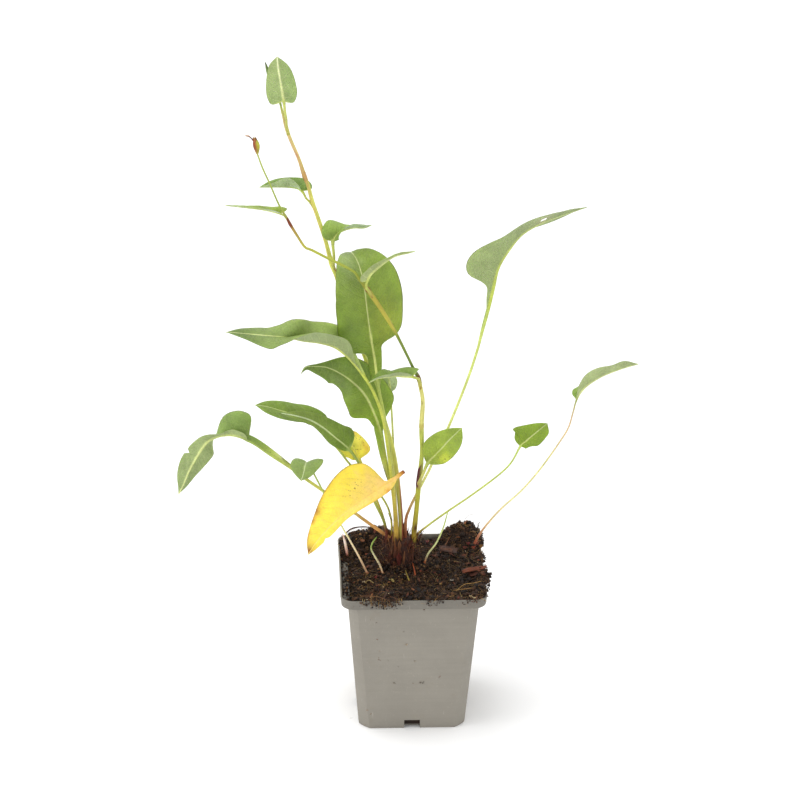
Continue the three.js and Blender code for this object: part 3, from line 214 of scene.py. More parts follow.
STEM_LEAVES = {
    "stem_leaf_low": {
        "stalk": [(4, -4.3, 157), (6, -5, 162)],
        "rib": [(9, -6.8, 171.3), (13, -7.2, 176.4), (17.5, -7.2, 181.4), (21, -7.4, 186), (25, -7.4, 190.5),
            (29.5, -7.2, 195)],
        "up": [(-0.1, -0.9, 0.45), (-0.1, -0.9, 0.45)],
        "blade": [(0, 1.2, 0, 1.2, 0), (0.06, 3.5, 15, 3, 10), (0.14, 7, 22, 5, 10), (0.28, 10.5, 22, 8, 15),
            (0.5, 10, 10, 9, 15), (0.72, 7, 10, 8, 10), (0.88, 3.5, 10, 5, 10)],
        "lobe": (0.2, 0.2),
        "radius": (0.9, 0.8),
    },
    "stem_leaf_mid": {
        "stalk": [(2.3, -11.2, 230), (0.5, -12.4, 231)],
        "rib": [(-2, -13.2, 232), (-7, -14, 232.5), (-12, -14.3, 233), (-16.5, -14.6, 232.5),
            (-22, -15, 232), (-27.5, -15, 229.5)],
        "up": [(0, 0.1, 1), (0, 0.1, 1)],
        "blade": [(0, 1, 20, 1, 40), (0.05, 3.5, 35, 4.5, 80), (0.12, 5, 40, 5.5, 84), (0.2, 6, 42, 6, 78),
            (0.32, 6.5, 42, 6.5, 40), (0.48, 6.5, 35, 6.5, 15), (0.65, 6, 35, 6, 40),
            (0.85, 3.5, 25, 3.5, 15)],
        "lobe": (0.2, 1.5),
        "radius": (0.8, 0.8),
    },
    "stem_leaf_high": {
        "stalk": [(-29.5, -17, 292), (-29.5, -17, 294.5)],
        "rib": [(-28.5, -17.5, 297), (-27, -18, 300.5), (-24, -19, 304), (-20, -20, 308),
            (-16.5, -21.5, 311.5), (-13, -22.5, 314), (-9.5, -23.5, 315.5), (-5.5, -24, 316.5),
            (-1, -24, 318)],
        "up": [(-0.95, 0.05, 0.2), (-0.6, 0.1, 0.8), (-0.2, 0.1, 0.95)],
        "blade": [(0, 1, 20, 1, 50), (0.05, 3, 10, 4, 55), (0.1, 4, 10, 5.5, 52), (0.2, 5, 5, 6, 50),
            (0.35, 5.5, 0, 6, 48), (0.5, 5, 0, 5.5, 35), (0.65, 4, 0, 4, 28), (0.82, 2.5, 0, 2.5, 50)],
        "lobe": (0.2, 1),
        "radius": (0.9, 0.8),
    },
    "stem_leaf_top": {
        "stalk": [(-77, -4, 332.5), (-78, -3.5, 333)],
        "rib": [(-80, -4, 334), (-84.5, -5.5, 336), (-90.5, -7, 338), (-97.5, -8.5, 339.5),
            (-104.5, -10, 341), (-112, -11.5, 342.5)],
        "up": [(0, 0, 1), (0, 0, 1)],
        "blade": [(0, 0.8, 20, 0.8, 20), (0.04, 2.5, 22, 5, 35), (0.12, 4, 22, 6, 30),
            (0.25, 6.5, 22, 7.5, 5), (0.45, 6.5, 22, 6.5, 0), (0.65, 4.5, 22, 4.5, -5),
            (0.85, 2, 25, 2, -5)],
        "lobe": (0, 1.5),
        "radius": (0.6, 0.6),
    },
    "tall_leaf_low": {
        "stalk": [(-48, 9, 297.5), (-48, 8.5, 302.5), (-48.5, 8.2, 307.5)],
        "rib": [(-48.5, 8, 312), (-46.5, 8, 315.5), (-44, 8.5, 317.5), (-40, 10, 318.5), (-35.5, 12, 318.5),
            (-30, 14, 317.5), (-25.5, 16, 318.5)],
        "up": [(-0.1, -0.9, 0.3), (-0.1, -0.4, 0.9), (0, -0.1, 1)],
        "blade": [(0, 1.2, 10, 1.2, 10), (0.04, 4.5, 15, 2, 15), (0.1, 7.5, 20, 3, 20),
            (0.2, 9.5, 20, 6, 55), (0.3, 10, -5, 9, 65), (0.42, 8.5, -15, 8.5, 62), (0.6, 5.5, -20, 6, 58),
            (0.8, 3.5, -20, 4, 60)],
        "lobe": (0.6, 0.2),
        "radius": (0.8, 0.8),
    },
    "tall_leaf_mid": {
        "stalk": [(-64, 13, 336), (-65, 14, 338), (-66, 15, 339.5)],
        "rib": [(-67.5, 15.5, 341), (-70, 15.5, 342.5), (-75, 14, 343.5), (-83, 12, 344.5),
            (-92, 10, 345.5)],
        "up": [(0.2, -0.2, 1), (0, -0.2, 1), (0, -0.2, 1)],
        "blade": [(0, 1, 30, 1, 30), (0.05, 3.5, 30, 4.5, 65), (0.12, 5.5, 32, 6, 50), (0.2, 7, 45, 6.5, 40),
            (0.35, 8.2, 72, 6.5, 40), (0.5, 7.6, 78, 6, 40), (0.65, 5.5, 74, 5, 40), (0.82, 3.5, 60, 3, 40)],
        "lobe": (0.2, 1.6),
        "radius": (0.6, 0.6),
    },
    "tall_leaf_top": {
        "stalk": [(-75.7, 13.5, 385), (-76.2, 13, 388.5), (-76.7, 13, 392)],
        "rib": [(-77.3, 13, 398), (-79, 14, 409), (-80.4, 15, 418), (-81, 16, 424.5)],
        "up": [(0, 0.9, -0.3), (0, 0.9, -0.3)],
        "blade": [(0, 1, 0, 1, 0), (0.02, 3, 10, 5.5, 10), (0.06, 5.5, 10, 7.8, 10), (0.14, 7.4, 10, 9, 10),
            (0.25, 8.8, 10, 9.5, 10), (0.4, 9, 15, 9, 10), (0.55, 8.2, 10, 8, 10), (0.7, 7, 10, 6.6, 10),
            (0.85, 4.5, 10, 4.5, 10)],
        "lobe": (0.8, 0.4),
        "radius": (0.8, 0.6),
    },
}

STEMS = {
    "stem_tall": [(-6.3, 0.5, 106, 1.7), (-6.7, 1, 119, 1.7), (-6.8, 2.8, 129.5, 1.6), (-9, 6.5, 155.3, 1.6),
        (-12, 9, 173.6, 1.6), (-17, 11, 192.1, 1.5), (-22.5, 12, 213.4, 1.5), (-28, 11.8, 230.7, 1.5),
        (-35, 11, 251.1, 1.4), (-42, 10.5, 272.3, 1.4), (-47, 11, 289, 1.4), (-49.5, 12, 296, 1.7),
        (-53, 12, 310.5, 1.4), (-57, 12.5, 323.5, 1.4), (-61, 13, 336, 1.4), (-63, 13, 344.5, 1.3),
        (-65.5, 13.2, 351.5, 1.5), (-68.5, 14.5, 361, 1.2), (-73.5, 16, 373, 1.2), (-76, 16.5, 380.5, 1.2),
        (-77.5, 16.5, 387.5, 1), (-79, 16.5, 393.5, 0.7)],
    "stem_bud": [(1.3, 0.5, 106, 1.6), (1.5, 0.5, 119, 1.6), (3, 0, 138.5, 1.5), (4, -1, 155, 1.8),
        (5.5, -2.5, 175, 1.4), (5, -4.5, 196, 1.6), (5.5, -6, 212, 1.4), (4, -7.5, 222, 1.3),
        (2.5, -8, 229, 1.5), (-1, -9, 236.5, 1.1), (-4.5, -9.5, 244.5, 1), (-12.5, -11.5, 262, 1.2),
        (-21.5, -13, 278, 1.4), (-29, -14, 290, 1.5), (-33.5, -14, 296, 1.2), (-36.5, -13.5, 300.5, 1.1),
        (-44.5, -12.5, 305, 1.1), (-52, -11.5, 308.5, 1.1), (-61.5, -9.5, 313, 1.1),
        (-65.5, -8.5, 314.5, 1.1), (-69.5, -7.5, 320.5, 1.1), (-74, -6.5, 328, 1.3), (-76, -6, 332, 1),
        (-80.5, -5.5, 340, 0.7), (-86, -5, 353.5, 0.6), (-90, -5, 363, 0.6), (-93, -5, 372, 0.6)],
    "stalk_bare": [(7.2, -1, 93, 0.9), (7.6, -0.5, 97, 0.9), (10.3, 1, 104.5, 0.8), (15.5, 2.5, 111.5, 0.7),
        (19.8, 4, 121.5, 0.7), (22.4, 5, 131.5, 0.5)],
    "flower_bud": [(-93.2, -5, 372.6, 0.6), (-93.7, -5, 375.5, 1.6), (-94.7, -5, 379, 2),
        (-96.3, -5, 381.6, 1), (-98, -5, 383, 0.6), (-100, -5, 383, 0.5)],
    "tall_leaf_young": [(-78.5, 18.3, 388.5, 0.4), (-79, 18.6, 393.5, 0.7), (-82, 19, 403, 1.4),
        (-86, 19.5, 413.5, 1.2), (-88, 20, 419.5, 0.3)],
    "sprout_pale": [(-39, 21.5, 93, 1), (-39.7, 23, 97, 1.2), (-40.7, 25.5, 101.5, 1),
        (-42, 28, 105.5, 0.3)],
    "sprout_green": [(-17.5, -8, 95, 0.9), (-20, -4, 100.5, 1), (-23, 0, 104.5, 0.9), (-25, 1, 109, 0.8),
        (-24, 1, 113, 0.8), (-21.5, 2, 116.5, 0.3)],
}

# Looks of the leaves: colours of the upper side, the under side and the midrib from base to tip, of the
# stalk by its share of length, and soft marks: side, place, place across, their reaches, colour, strength
PLAIN_LEAF = {
    "upper": ("#86a04a", "#8ca852"),
    "lower": ("#a9ba84", "#a4b67e"),
    "rib": ("#c3ca78", "#bcc88c"),
    "stalk": [(0, "#8a4a2a"), (0.1, "#a88040"), (0.22, "#b3b056"), (1, "#b0bb5a")],
    "marks": [],
    "speckle": [],
}
LEAF_LOOKS = {
    "leaf_oval": {
        "upper": ("#738a1c", "#80963c"),
        "rib": ("#c4cc6c", "#d3d8a0"),
        "stalk": [(0, "#4c2418"), (0.07, "#7c4526"), (0.12, "#b0903a"), (0.28, "#b5a540"), (0.42, "#b6b64c"),
            (1, "#a4b456")],
        # Painted highlight: the first mark is a pale whitish sheen on the upper side near the tip, on the
        # left half
        "marks": [("upper", 0.9, -0.45, 0.14, 0.5, "#a9b688", 0.55),
            ("upper", 0.42, 0.55, 0.16, 0.5, "#a8b03c", 0.6),
            ("upper", 0.4, -0.6, 0.14, 0.4, "#6f8c34", 0.5)],
    },
    "leaf_hooked": {
        "upper": ("#819b20", "#5e7430"),
        "stalk": [(0, "#4c2418"), (0.12, "#7c4526"), (0.2, "#b0903a"), (0.36, "#b5a540"), (0.5, "#b6b64c"),
            (1, "#a2b254")],
        "marks": [("upper", 0.62, -0.5, 0.2, 0.5, "#97a876", 0.45),
            ("upper", 0.5, 0.5, 0.16, 0.5, "#5c7634", 0.4), ("upper", 0.3, 0.4, 0.12, 0.6, "#8ca63e", 0.5)],
    },
    "leaf_wavy": {
        "upper": ("#bed077", "#60753f"),
        "lower": ("#96a26c", "#92a17a"),
        "rib": ("#c5cc60", "#c3cc92"),
        "stalk": [(0, "#4c2418"), (0.08, "#70401f"), (0.13, "#ae8e36"), (0.28, "#b4a43e"), (0.45, "#b7b84a"),
            (1, "#b9c252")],
    },
    "leaf_small": {"lower": ("#b5c592", "#aec08a"), "stalk": [(0, "#b0a04c"), (1, "#bcc872")]},
    "leaf_upper_left": {
        "upper": ("#70872e", "#7a913a"),
        "lower": ("#9fb07c", "#a3b382"),
        "stalk": [(0, "#6a3020"), (0.07, "#b4632f"), (0.13, "#b6ac50"), (0.3, "#b9c060"), (1, "#aab95c")],
    },
    "leaf_lower_left": {
        "upper": ("#627c18", "#7e9042"),
        "rib": ("#b5c178", "#bccaa0"),
        "stalk": [(0, "#b0552c"), (0.04, "#8e3a26"), (0.1, "#6c2c26"), (0.22, "#6a3a2a"), (0.27, "#8c9440"),
            (0.45, "#a7b050"), (1, "#8fa24a")],
    },
    "leaf_yellowing": {
        "upper": ("#fff04c", "#fff67c"),
        "lower": ("#f2e24a", "#fff068"),
        "rib": ("#dfd860", "#ece28a"),
        "stalk": [(0, "#a86a3a"), (0.2, "#bcae52"), (1, "#c8c652")],
        "marks": [("both", 0.35, -0.2, 0.12, 0.5, "#aabc3c", 0.75),
            ("both", 0.08, -0.5, 0.1, 0.5, "#b6c040", 0.8), ("both", 0.62, 0.85, 0.12, 0.16, "#e09a2c", 0.7),
            ("both", 0.2, 0.8, 0.1, 0.2, "#d8962e", 0.5)],
        "speckle": [(0.45, 0.3, 0.5, 0.9, 0.7)],
    },
    "leaf_withered": {
        "upper": ("#fbdf40", "#fde24e"),
        "lower": ("#f6d652", "#f8dc5e"),
        "rib": ("#ecc868", "#f0da78"),
        "stalk": [(0, "#7c3a12"), (0.3, "#b8742a"), (0.6, "#dfae48"), (1, "#e8c06c")],
        "marks": [("both", 0.06, 0, 0.15, 1, "#edc27c", 0.9),
            ("both", 0.34, -0.4, 0.26, 0.6, "#f5d084", 0.7), ("both", 0.24, 0.2, 0.1, 0.3, "#f3ce7c", 0.5),
            ("both", 0.13, -1, 0.022, 0.45, "#cf7a2c", 0.95), ("both", 0.3, -1, 0.14, 0.18, "#dd9a40", 0.5),
            ("both", 0.69, 1, 0.07, 0.24, "#e0a030", 0.8), ("both", 0.685, 1.05, 0.035, 0.26, "#8a3a14", 1),
            ("both", 0.76, 1, 0.03, 0.14, "#a85a22", 0.9), ("both", 0.88, 1, 0.05, 0.2, "#b0601f", 0.85),
            ("both", 0.55, 1, 0.2, 0.07, "#d9942e", 0.7), ("both", 0.97, 0.2, 0.05, 1.2, "#8c481c", 1)],
        "speckle": [(0.3, 0.35, 0.12, 0.22, 0.8), (0.42, 0.15, 0.06, 0.2, 0.6)],
    },
    "leaf_far_left": {
        "upper": ("#748b43", "#859c4c"),
        "lower": ("#9caa72", "#95a56b"),
        "rib": ("#bcc878", "#cdd492"),
        "stalk": [(0, "#a86038"), (0.06, "#c28a52"), (0.2, "#c99a58"), (0.32, "#cdb862"), (0.6, "#bcc162"),
            (1, "#93a652")],
    },
    "leaf_nodding": {
        "upper": ("#859c4e", "#90a45b"),
        "rib": ("#b0c078", "#c6d0a0"),
        "stalk": [(0, "#a8643c"), (0.05, "#deb48c"), (0.3, "#f2deb6"), (0.44, "#dfe0a0"), (0.56, "#bccb70"),
            (1, "#a0b258")],
    },
    "leaf_far_right": {
        "upper": ("#92a85a", "#7f9550"),
        "lower": ("#a3b277", "#7d8b57"),
        "rib": ("#bcc850", "#b9c48c"),
        "stalk": [(0, "#8a4630"), (0.05, "#a05c3c"), (0.14, "#b98258"), (0.2, "#ccae74"), (0.28, "#dfdf92"),
            (0.6, "#d2da80"), (1, "#b3c160")],
        "marks": [("both", 0.66, 0.2, 0.05, 0.3, "#c7bd9a", 0.6)],
    },
    "leaf_right_heart": {
        "upper": ("#7d9722", "#849d28"),
        "stalk": [(0, "#8e452a"), (0.05, "#a8683a"), (0.12, "#b0924c"), (0.2, "#bfc466"), (1, "#b4c466")],
    },
    "leaf_right_arch": {
        "lower": ("#a4b177", "#a1ad78"),
        "rib": ("#c6ce8a", "#ccd39a"),
        "stalk": [(0, "#7c3424"), (0.05, "#a85a3c"), (0.1, "#c99a72"), (0.2, "#e0cc9c"), (0.36, "#e2dca4"),
            (0.6, "#dcd694"), (0.76, "#d2bc92"), (0.9, "#ceb28c"), (1, "#a6b060")],
    },
    "stem_leaf_low": {
        "upper": ("#90a031", "#94aa3e"),
        "stalk": [(0, "#a88450"), (0.3, "#b9ae62"), (0.8, "#b5b862"), (1, "#a4b456")],
        "marks": [("upper", 0.34, 0.75, 0.12, 0.5, "#c9cf3e", 0.8)],
        "speckle": [(0.32, 0.62, 0.16, 0.5, 1.6)],
    },
    "stem_leaf_mid": {"upper": ("#839c49", "#839c49"), "lower": ("#98a57b", "#99a778")},
    "stem_leaf_high": {"upper": ("#889e40", "#88a33d"), "lower": ("#9ba56e", "#95a35f")},
    "stem_leaf_top": {"upper": ("#8c9f38", "#8fa646"), "lower": ("#b0bba6", "#a9b79a")},
    "tall_leaf_low": {"upper": ("#819a41", "#859d47"), "lower": ("#a6b98e", "#a6bc90")},
    "tall_leaf_mid": {
        "upper": ("#6f8c44", "#829e54"),
        "lower": ("#a9bc8c", "#aabb8c"),
        "rib": ("#b4c470", "#bdc98c"),
    },
    "tall_leaf_top": {
        "lower": ("#9aae6c", "#a0b071"),
        "rib": ("#cdd68c", "#dde2b4"),
        "stalk": [(0, "#b9b45e"), (1, "#b7c068")],
        "marks": [("both", 0.45, -0.9, 0.5, 0.7, "#86a058", 0.6)],
    },
}
# The two leaves that dry up, with the slots of their looks
PAPERY_LEAVES = {"leaf_withered": "leaf_yellow", "leaf_yellowing": "leaf_yellow_green"}

# How side veins run back from the midrib: by their distance from it, and by its square
VEIN_LEAN = 0.55
VEIN_BEND = 0.022

# A bite out of a margin: side, place, reach along the blade and share of the half-width that is lost
LEAF_NICKS = {
    "leaf_far_left": (0, 0.585, 0.012, 0.42),
    "leaf_withered": (0, 0.79, 0.02, 0.3),
    "leaf_yellowing": (1, 0.6, 0.03, 0.12),
}
# A wing of blade down one side of a stalk: side, where it starts and is widest before the blade, width
LEAF_WINGS = {
    "leaf_hooked": (0, -44, -3, 2.6),
    "leaf_far_left": (1, -44, -12, 2.6),
    "leaf_far_right": (0, -34, -6, 1.8),
}
# Share of the listed thickness that a stalk keeps, from its foot to the blade
STALK_SLIM = {"leaf_nodding": (0.62, 0.8), "leaf_far_left": (0.85, 1), "leaf_far_right": (0.8, 0.95),
    "leaf_right_heart": (0.75, 0.9), "leaf_right_arch": (0.75, 0.8), "leaf_lower_left": (0.8, 0.9),
    "leaf_upper_left": (0.8, 0.9), "leaf_yellowing": (0.8, 0.8), "leaf_wavy": (1.3, 0.9),
    "leaf_oval": (1.2, 0.95), "leaf_hooked": (1.1, 0.95)}
# A worn hole through a blade: places along it and places across it
LEAF_HOLES = {"leaf_far_right": ((0.645, 0.69), (0.12, 0.36))}

# Colours of the stems and shoots by height
STEM_TONES = {
    "stem_tall": [(106, "#6e3026"), (128, "#8a3e28"), (144, "#9a5634"), (153, "#b49a4c"), (165, "#c4c45e"),
        (230, "#ccd264"), (300, "#d6dc6e"), (338, "#d8da6c"), (347, "#cfc660"), (351, "#b8965a"),
        (358, "#d3be6c"), (372, "#d8c878"), (385, "#c8c46c"), (394, "#b4bc66")],
    "stem_bud": [(106, "#6e6a2a"), (113, "#8a8030"), (117, "#a88c34"), (124, "#aa9a30"), (150, "#b3b53e"),
        (157, "#b4b452"), (176, "#adb64c"), (192, "#b4bc54"), (197, "#cdc872"), (212, "#d6d27e"),
        (224, "#c8c468"), (232, "#6c7c3a"), (238, "#6f8236"), (258, "#7a8c32"), (264, "#b5ac42"),
        (284, "#b0a440"), (293, "#8e9038"), (302, "#98a23e"), (312, "#acb044"), (320, "#b0a048"),
        (326, "#a88a44"), (334, "#98984a"), (338, "#a0ae50"), (372, "#a8b458")],
    "stalk_bare": [(93, "#8c3022"), (97, "#a8442c"), (100, "#b9683c"), (104, "#dcd8a0"), (112, "#dbe29a"),
        (132, "#b4cc66")],
    "sprout_pale": [(93, "#a8544a"), (97, "#e4b8a4"), (102, "#f2e0d0"), (105.5, "#d09484")],
    "sprout_green": [(95, "#b87c58"), (99, "#e6cca4"), (106, "#e6e2b4"), (110, "#a9c162"),
        (116.5, "#90b04c")],
}
# Papery sheaths at the nodes: lower and upper height, slant of the torn rim, swell, colour, and how much
# less they cover of the stem's right side
STEM_SHEATHS = {
    "stem_tall": [(289, 298.5, 2, 0.14, "#d2d46a", 0), (348.5, 352.5, 1, 0.12, "#b9925a", 0)],
    "stem_bud": [(152, 167, 3, 0.16, "#58222a", 0.85), (193.5, 196.6, 0.6, 0.14, "#bfb45e", 0),
        (226.4, 230.4, 1.2, 0.12, "#6a2c26", 0.3), (288, 290.6, 0.4, 0.1, "#74301c", 0.2),
        (326.5, 331.5, 1, 0.06, "#74301f", 0.1)],
}
# Where the left side of a stem differs
STEM_LEFT_TONES = {
    "stem_tall": [(106, "#7a4030"), (114, "#a08444"), (122, "#bcb458"), (180, "#bcbe58"), (290, "#c6c45e"),
        (340, "#ccc264"), (352, "#b99560"), (358, "#d0b274"), (372, "#cfb47c"), (385, "#c4b074"),
        (394, "#a9b260")],
}
# Share of the listed radius that a stem or shoot keeps, by height
STEM_SLIM = {
    "stem_tall": [(106, 0.9), (190, 0.9), (230, 0.82), (330, 0.86), (394, 0.9)],
    "stem_bud": [(106, 1), (130, 1), (150, 0.9), (225, 0.92), (236, 0.8), (262, 0.84), (270, 0.94),
        (289, 0.94), (294, 0.7), (330, 0.7), (345, 0.8)],
    "stalk_bare": [(93, 0.85), (104, 0.72), (132, 0.68)],
    "sprout_pale": [(93, 0.75)],
    "sprout_green": [(95, 0.62)],
}
# Brown scars on the stems: height, turn round the stem, reach, colour
STEM_SCARS = {
    "stem_bud": [(124, -0.25, 2.6, "#4a180e"), (133, 2.4, 0.9, "#8a5a34"), (212, 0.2, 1, "#97884a")],
    "stem_tall": [(330, 0.5, 1, "#c9a660"), (364, 0.2, 2, "#c58e74")],
}

# Crown, compost and pot, with the values of the source part
CROWN_PLACE = (-6.8, 1.6)
CROWN_RADII = (11.4, 9.4)
CROWN_BASE = 89
CROWN_TOP = 116
CROWN_LEVELS = [(0, 1), (12, 0.96), (17, 0.88), (22, 0.8), (26, 0.66)]
CROWN_HAIRS = [("#3a2018", 30), ("#5c3421", 30), ("#84582f", 16), ("#261712", 20), ("#b08a60", 5)]
SOIL_LEVEL = 93.5
SOIL_LIMITS = (-44.7, 47.4, -45.4, 44.7)
SOIL_MOUNDS = [(-33, 32, 10, 10), (-17, 34, 12, 10), (35, 33, 16, 12), (-6, 4, 6, 16), (46, -14, 6, 11),
    (46, 10, 4, 10), (42, -34, 4.5, 10), (-16, -40, 3.6, 12), (12, -36, 3.5, 14), (24, 0, 4, 13),
    (-44, -22, -5.5, 12), (-44, 6, -5.5, 12), (12, 42, -1.5, 8)]
POT_HEIGHT = 96.4
RIM_HALF = 45
RIM_BAND = 6.2
RIM_WALL = 1
RIM_CORNER = 8
RIM_DRAFT = 0.6
BODY_TOP_HALF = 40.4
BODY_BASE_HALF = 33.1
BODY_TOP_CUT = 5.4
BODY_BASE_CUT = 6.6
POT_WALL = 1.1
CORNER_SOFTNESS = 0.25
NOTCH_WIDTH = 9.8
NOTCH_HEIGHT = 6
NOTCH_DEPTH = 12
DRAIN_WIDTH = 6
DRAIN_HEIGHT = 2.4

# Colours of crumbs, fibres and bark bits, with their shares
CRUMB_TONES = [("#1e140e", 36), ("#302017", 30), ("#422c1c", 18), ("#5a3c26", 9), ("#6f4f33", 4),
    ("#5a2e20", 3), ("#8a673c", 1.2), ("#a98a58", 0.7), ("#cbbb9a", 0.4)]
FIBRE_TONES = [("#54391f", 26), ("#6e4e2f", 26), ("#8f6b3e", 20), ("#362414", 14), ("#ad8b4e", 11),
    ("#c9ad72", 6), ("#743a26", 6)]
BIT_TONES = [("#3a2113", 30), ("#552d1a", 26), ("#6c3620", 18), ("#7c4a28", 12), ("#8e6a3a", 5)]

# Lighter and darker places of the compost: centre, reach, share of the usual brightness. The dark place at
# (20, 16) round the bark flake is a painted shadow, and the dark place in the front left corner at (-41, -36)
# is painted shade.
SOIL_PATCHES_AND_SHADOWS = [(-2, -34, 9, 0.5), (-41, -36, 7, 0.45), (20, 16, 11, 0.6), (33, -19, 10, 0.55),
    (-20, -35, 9, 1.5), (38, -40, 8, 1.6), (38, 30, 10, 1.15), (-30, 8, 12, 0.8), (12, -24, 8, 0.75),
    (-22, 22, 10, 0.85)]

# Compost spilt over the front of the rim: place across, reach, drop, number of crumbs
RIM_SPILLS = [(-23.5, 2.4, 5, 80), (-17, 2.8, 5.6, 100), (-12, 2.4, 3.4, 50), (-29.5, 2, 2.6, 30),
    (9, 1.6, 2.2, 24), (16, 1.5, 1.8, 18), (35, 3, 1.8, 30)]

# Loose things on the compost: centre, reach, colour
PINK_BUDS = [((34.5, 19.8, 98.6), 1.9, "#a04a44"), ((36.8, 21.8, 100.6), 1.7, "#9c4640"),
    ((39.8, 19.2, 99.4), 2.1, "#b2543c"), ((42.4, 23, 100.2), 1.9, "#a85a48"),
    ((44.6, 22.6, 98.4), 1.8, "#b8803c"), ((11.8, 36.5, 94.6), 1.7, "#b0605c"),
    ((14.3, 31.4, 95.2), 1.5, "#c07a70"), ((-41, 33, 99.2), 1.3, "#8a2a20"),
    ((-22.5, -12.5, 95.6), 1.4, "#a04038"), ((-16.5, 3.5, 100.5), 1.2, "#9a3e34"),
    ((5.4, -8, 97.2), 1, "#a84a2e"), ((14, -9, 96.6), 1.3, "#8e4a38")]
PALE_GRIT = [((-12.1, -3.5, 98), 1.1, "#b9a468"), ((-11.7, -8.8, 97), 1.4, "#c2ac6e"),
    ((-13.2, -15, 95.4), 1.3, "#cbb87c"), ((-12.3, -17, 95.4), 1, "#b5a062"),
    ((-18.5, -26.8, 95.2), 1.2, "#c8a87c"), ((34.8, -39.6, 96.3), 1.3, "#cdb488"),
    ((37.3, -41.4, 96.4), 1.2, "#d2bc90"), ((-5.4, -6, 98), 0.9, "#b07c40"),
    ((-27, 31, 105), 1.3, "#a88a5a"), ((-30, -16, 95), 1, "#b8a482"), ((24, -20, 97), 1.1, "#a3988a"),
    ((-36, -4, 93.5), 0.9, "#a89070")]
ROOTS = [
    ([(-39.5, 34, 103), (-37, 34, 105.4), (-33, 34.5, 106.6), (-28.4, 35, 106.6), (-23, 35, 105.8),
        (-18, 33, 104.5)], 0.5, "#4a2a1a"),
    ([(-28, 34, 105.5), (-22, 33, 107.4), (-15, 32.5, 107.2), (-9, 32, 103)], 0.16, "#6a5a44"),
    ([(18.9, 19, 95.6), (22.5, 24, 98.8), (26.5, 29.5, 103), (31, 33, 107), (33.8, 34, 109.4)], 0.35,
        "#7a4a28"),
    ([(33.9, 31.5, 109.5), (35.3, 32, 113.2), (38, 32.5, 115.6), (41.5, 33, 114.8), (43.8, 33.4, 111.6)],
        0.16, "#8e8a84"),
    ([(-14.2, 6, 131), (-13.3, 5.2, 128.6), (-11.8, 4.4, 126)], 0.3, "#3a2c2c"),
    ([(42.5, 30, 106.5), (43.4, 29, 109.5), (43, 28, 111.6), (44.4, 28, 112.4)], 0.34, "#2c2018"),
    ([(20, 40, 96), (25, 38, 99.5), (29, 36, 104), (30, 34, 108)], 0.3, "#3c2818"),
    ([(2, -12, 96.6), (1.4, -9, 99), (0.6, -6, 101.5), (0.4, -3.6, 104)], 0.5, "#9a4a26"),
    ([(-2, -17, 95.6), (-3.2, -13, 97.4), (-4.2, -9.5, 99.2)], 0.42, "#9a8438"),
    ([(-24, -20, 95.8), (-27, -17.5, 96.6), (-29.5, -19.5, 95.6)], 0.3, "#a8905a"),
    ([(40, -30, 98.6), (35, -33, 98.4), (29, -35, 98.8), (24, -34, 97.6)], 0.28, "#96703e"),
    ([(42, -25, 99), (37, -27.5, 99), (31, -30, 99.4), (26, -36, 98.2)], 0.24, "#a8824a"),
    ([(-33, -38, 96.5), (-26, -41, 98), (-20, -44.5, 98.6), (-15, -46.5, 97)], 0.26, "#6e4a2c"),
    ([(-15, -42, 98.2), (-11, -45, 98), (-9.5, -47, 95.6)], 0.3, "#5c3a24"),
]
# Layers of the two pieces of bark: centre, size, turn, colour
BARK_SLABS = {
    "bark_chunk": [((38.6, -12.6, 100.7), (15.4, 3.2, 1.1), (14, -8, 12), "#6a341c"),
        ((37.6, -11.6, 99.6), (14, 5.2, 1.6), (4, -6, 8), "#2e1810"),
        ((40.5, -13, 99), (10.5, 4.6, 1.4), (10, -12, 18), "#4a2415"),
        ((44.6, -15.2, 98.6), (6, 3.6, 1.8), (20, 24, 40), "#552a18")],
    "bark_flake": [((23.5, 12, 101.6), (11, 5.8, 1.3), (10, 5, -8), "#3f2418"),
        ((22.5, 11.4, 102.3), (8, 2.6, 0.7), (16, 5, -14), "#57331f")],
}
# Dirt stuck to the pot's front: place across, height, reach, colour
POT_SPECKS = [(-26.3, 81, 0.45, "#6f6457"), (-23, 78.7, 0.5, "#6f5f50"), (-22, 66.3, 0.75, "#8a5a44"),
    (-4.4, 62.5, 0.8, "#c9ac84"), (-21.1, 57.6, 0.5, "#a8907a"), (-21.4, 53.3, 0.4, "#94806a"),
    (-21, 51.3, 0.6, "#7e5c4a"), (-6.2, 71.8, 0.5, "#7a7064"), (0.9, 50.3, 0.7, "#bcae92"),
    (-15.4, 50.8, 0.4, "#8f8478"), (-9, 45.7, 0.4, "#80766a"), (-11.9, 33.9, 0.8, "#6f6352"),
    (0, 33.7, 0.5, "#8a705c"), (5.6, 34, 1, "#5f574c"), (16.3, 38.2, 0.75, "#84503e"),
    (-28.1, 14.1, 0.7, "#8e6a50"), (-25.8, 11.3, 0.6, "#8a6a52"), (-37.7, 8, 0.6, "#7c6a56"),
    (-29.1, 3.1, 0.6, "#7c6654")]
RIM_SPECKS = [(-34.3, 89.6, 0.9, "#6a4630"), (-14.9, 89.8, 0.9, "#6a4630"), (-11.6, 88.9, 0.7, "#6e5038"),
    (6.2, 88.7, 0.8, "#5f4838"), (8.9, 93.3, 0.7, "#4c3626"), (13.3, 93.2, 0.5, "#4c3a2a"),
    (-29.3, 93.8, 0.7, "#4c3626"), (-18, 93.4, 0.9, "#3e2a1c"), (-20.5, 95, 1, "#3a281a")]

# Foot and tip of the old sheaths of the crown
CROWN_TONES = [("#32150f", "#4e2116"), ("#3c1a12", "#5e2c1c"), ("#481811", "#642416"), ("#58331f", "#8a5c3a"),
    ("#25120d", "#3c1c13"), ("#2a1811", "#543220"), ("#482114", "#744226")]

# Colour of the crown's heart by height
CORE_TONES = [(88, "#1e120e"), (100, "#2b1913"), (108, "#3a1e16"), (116, "#4a281b")]

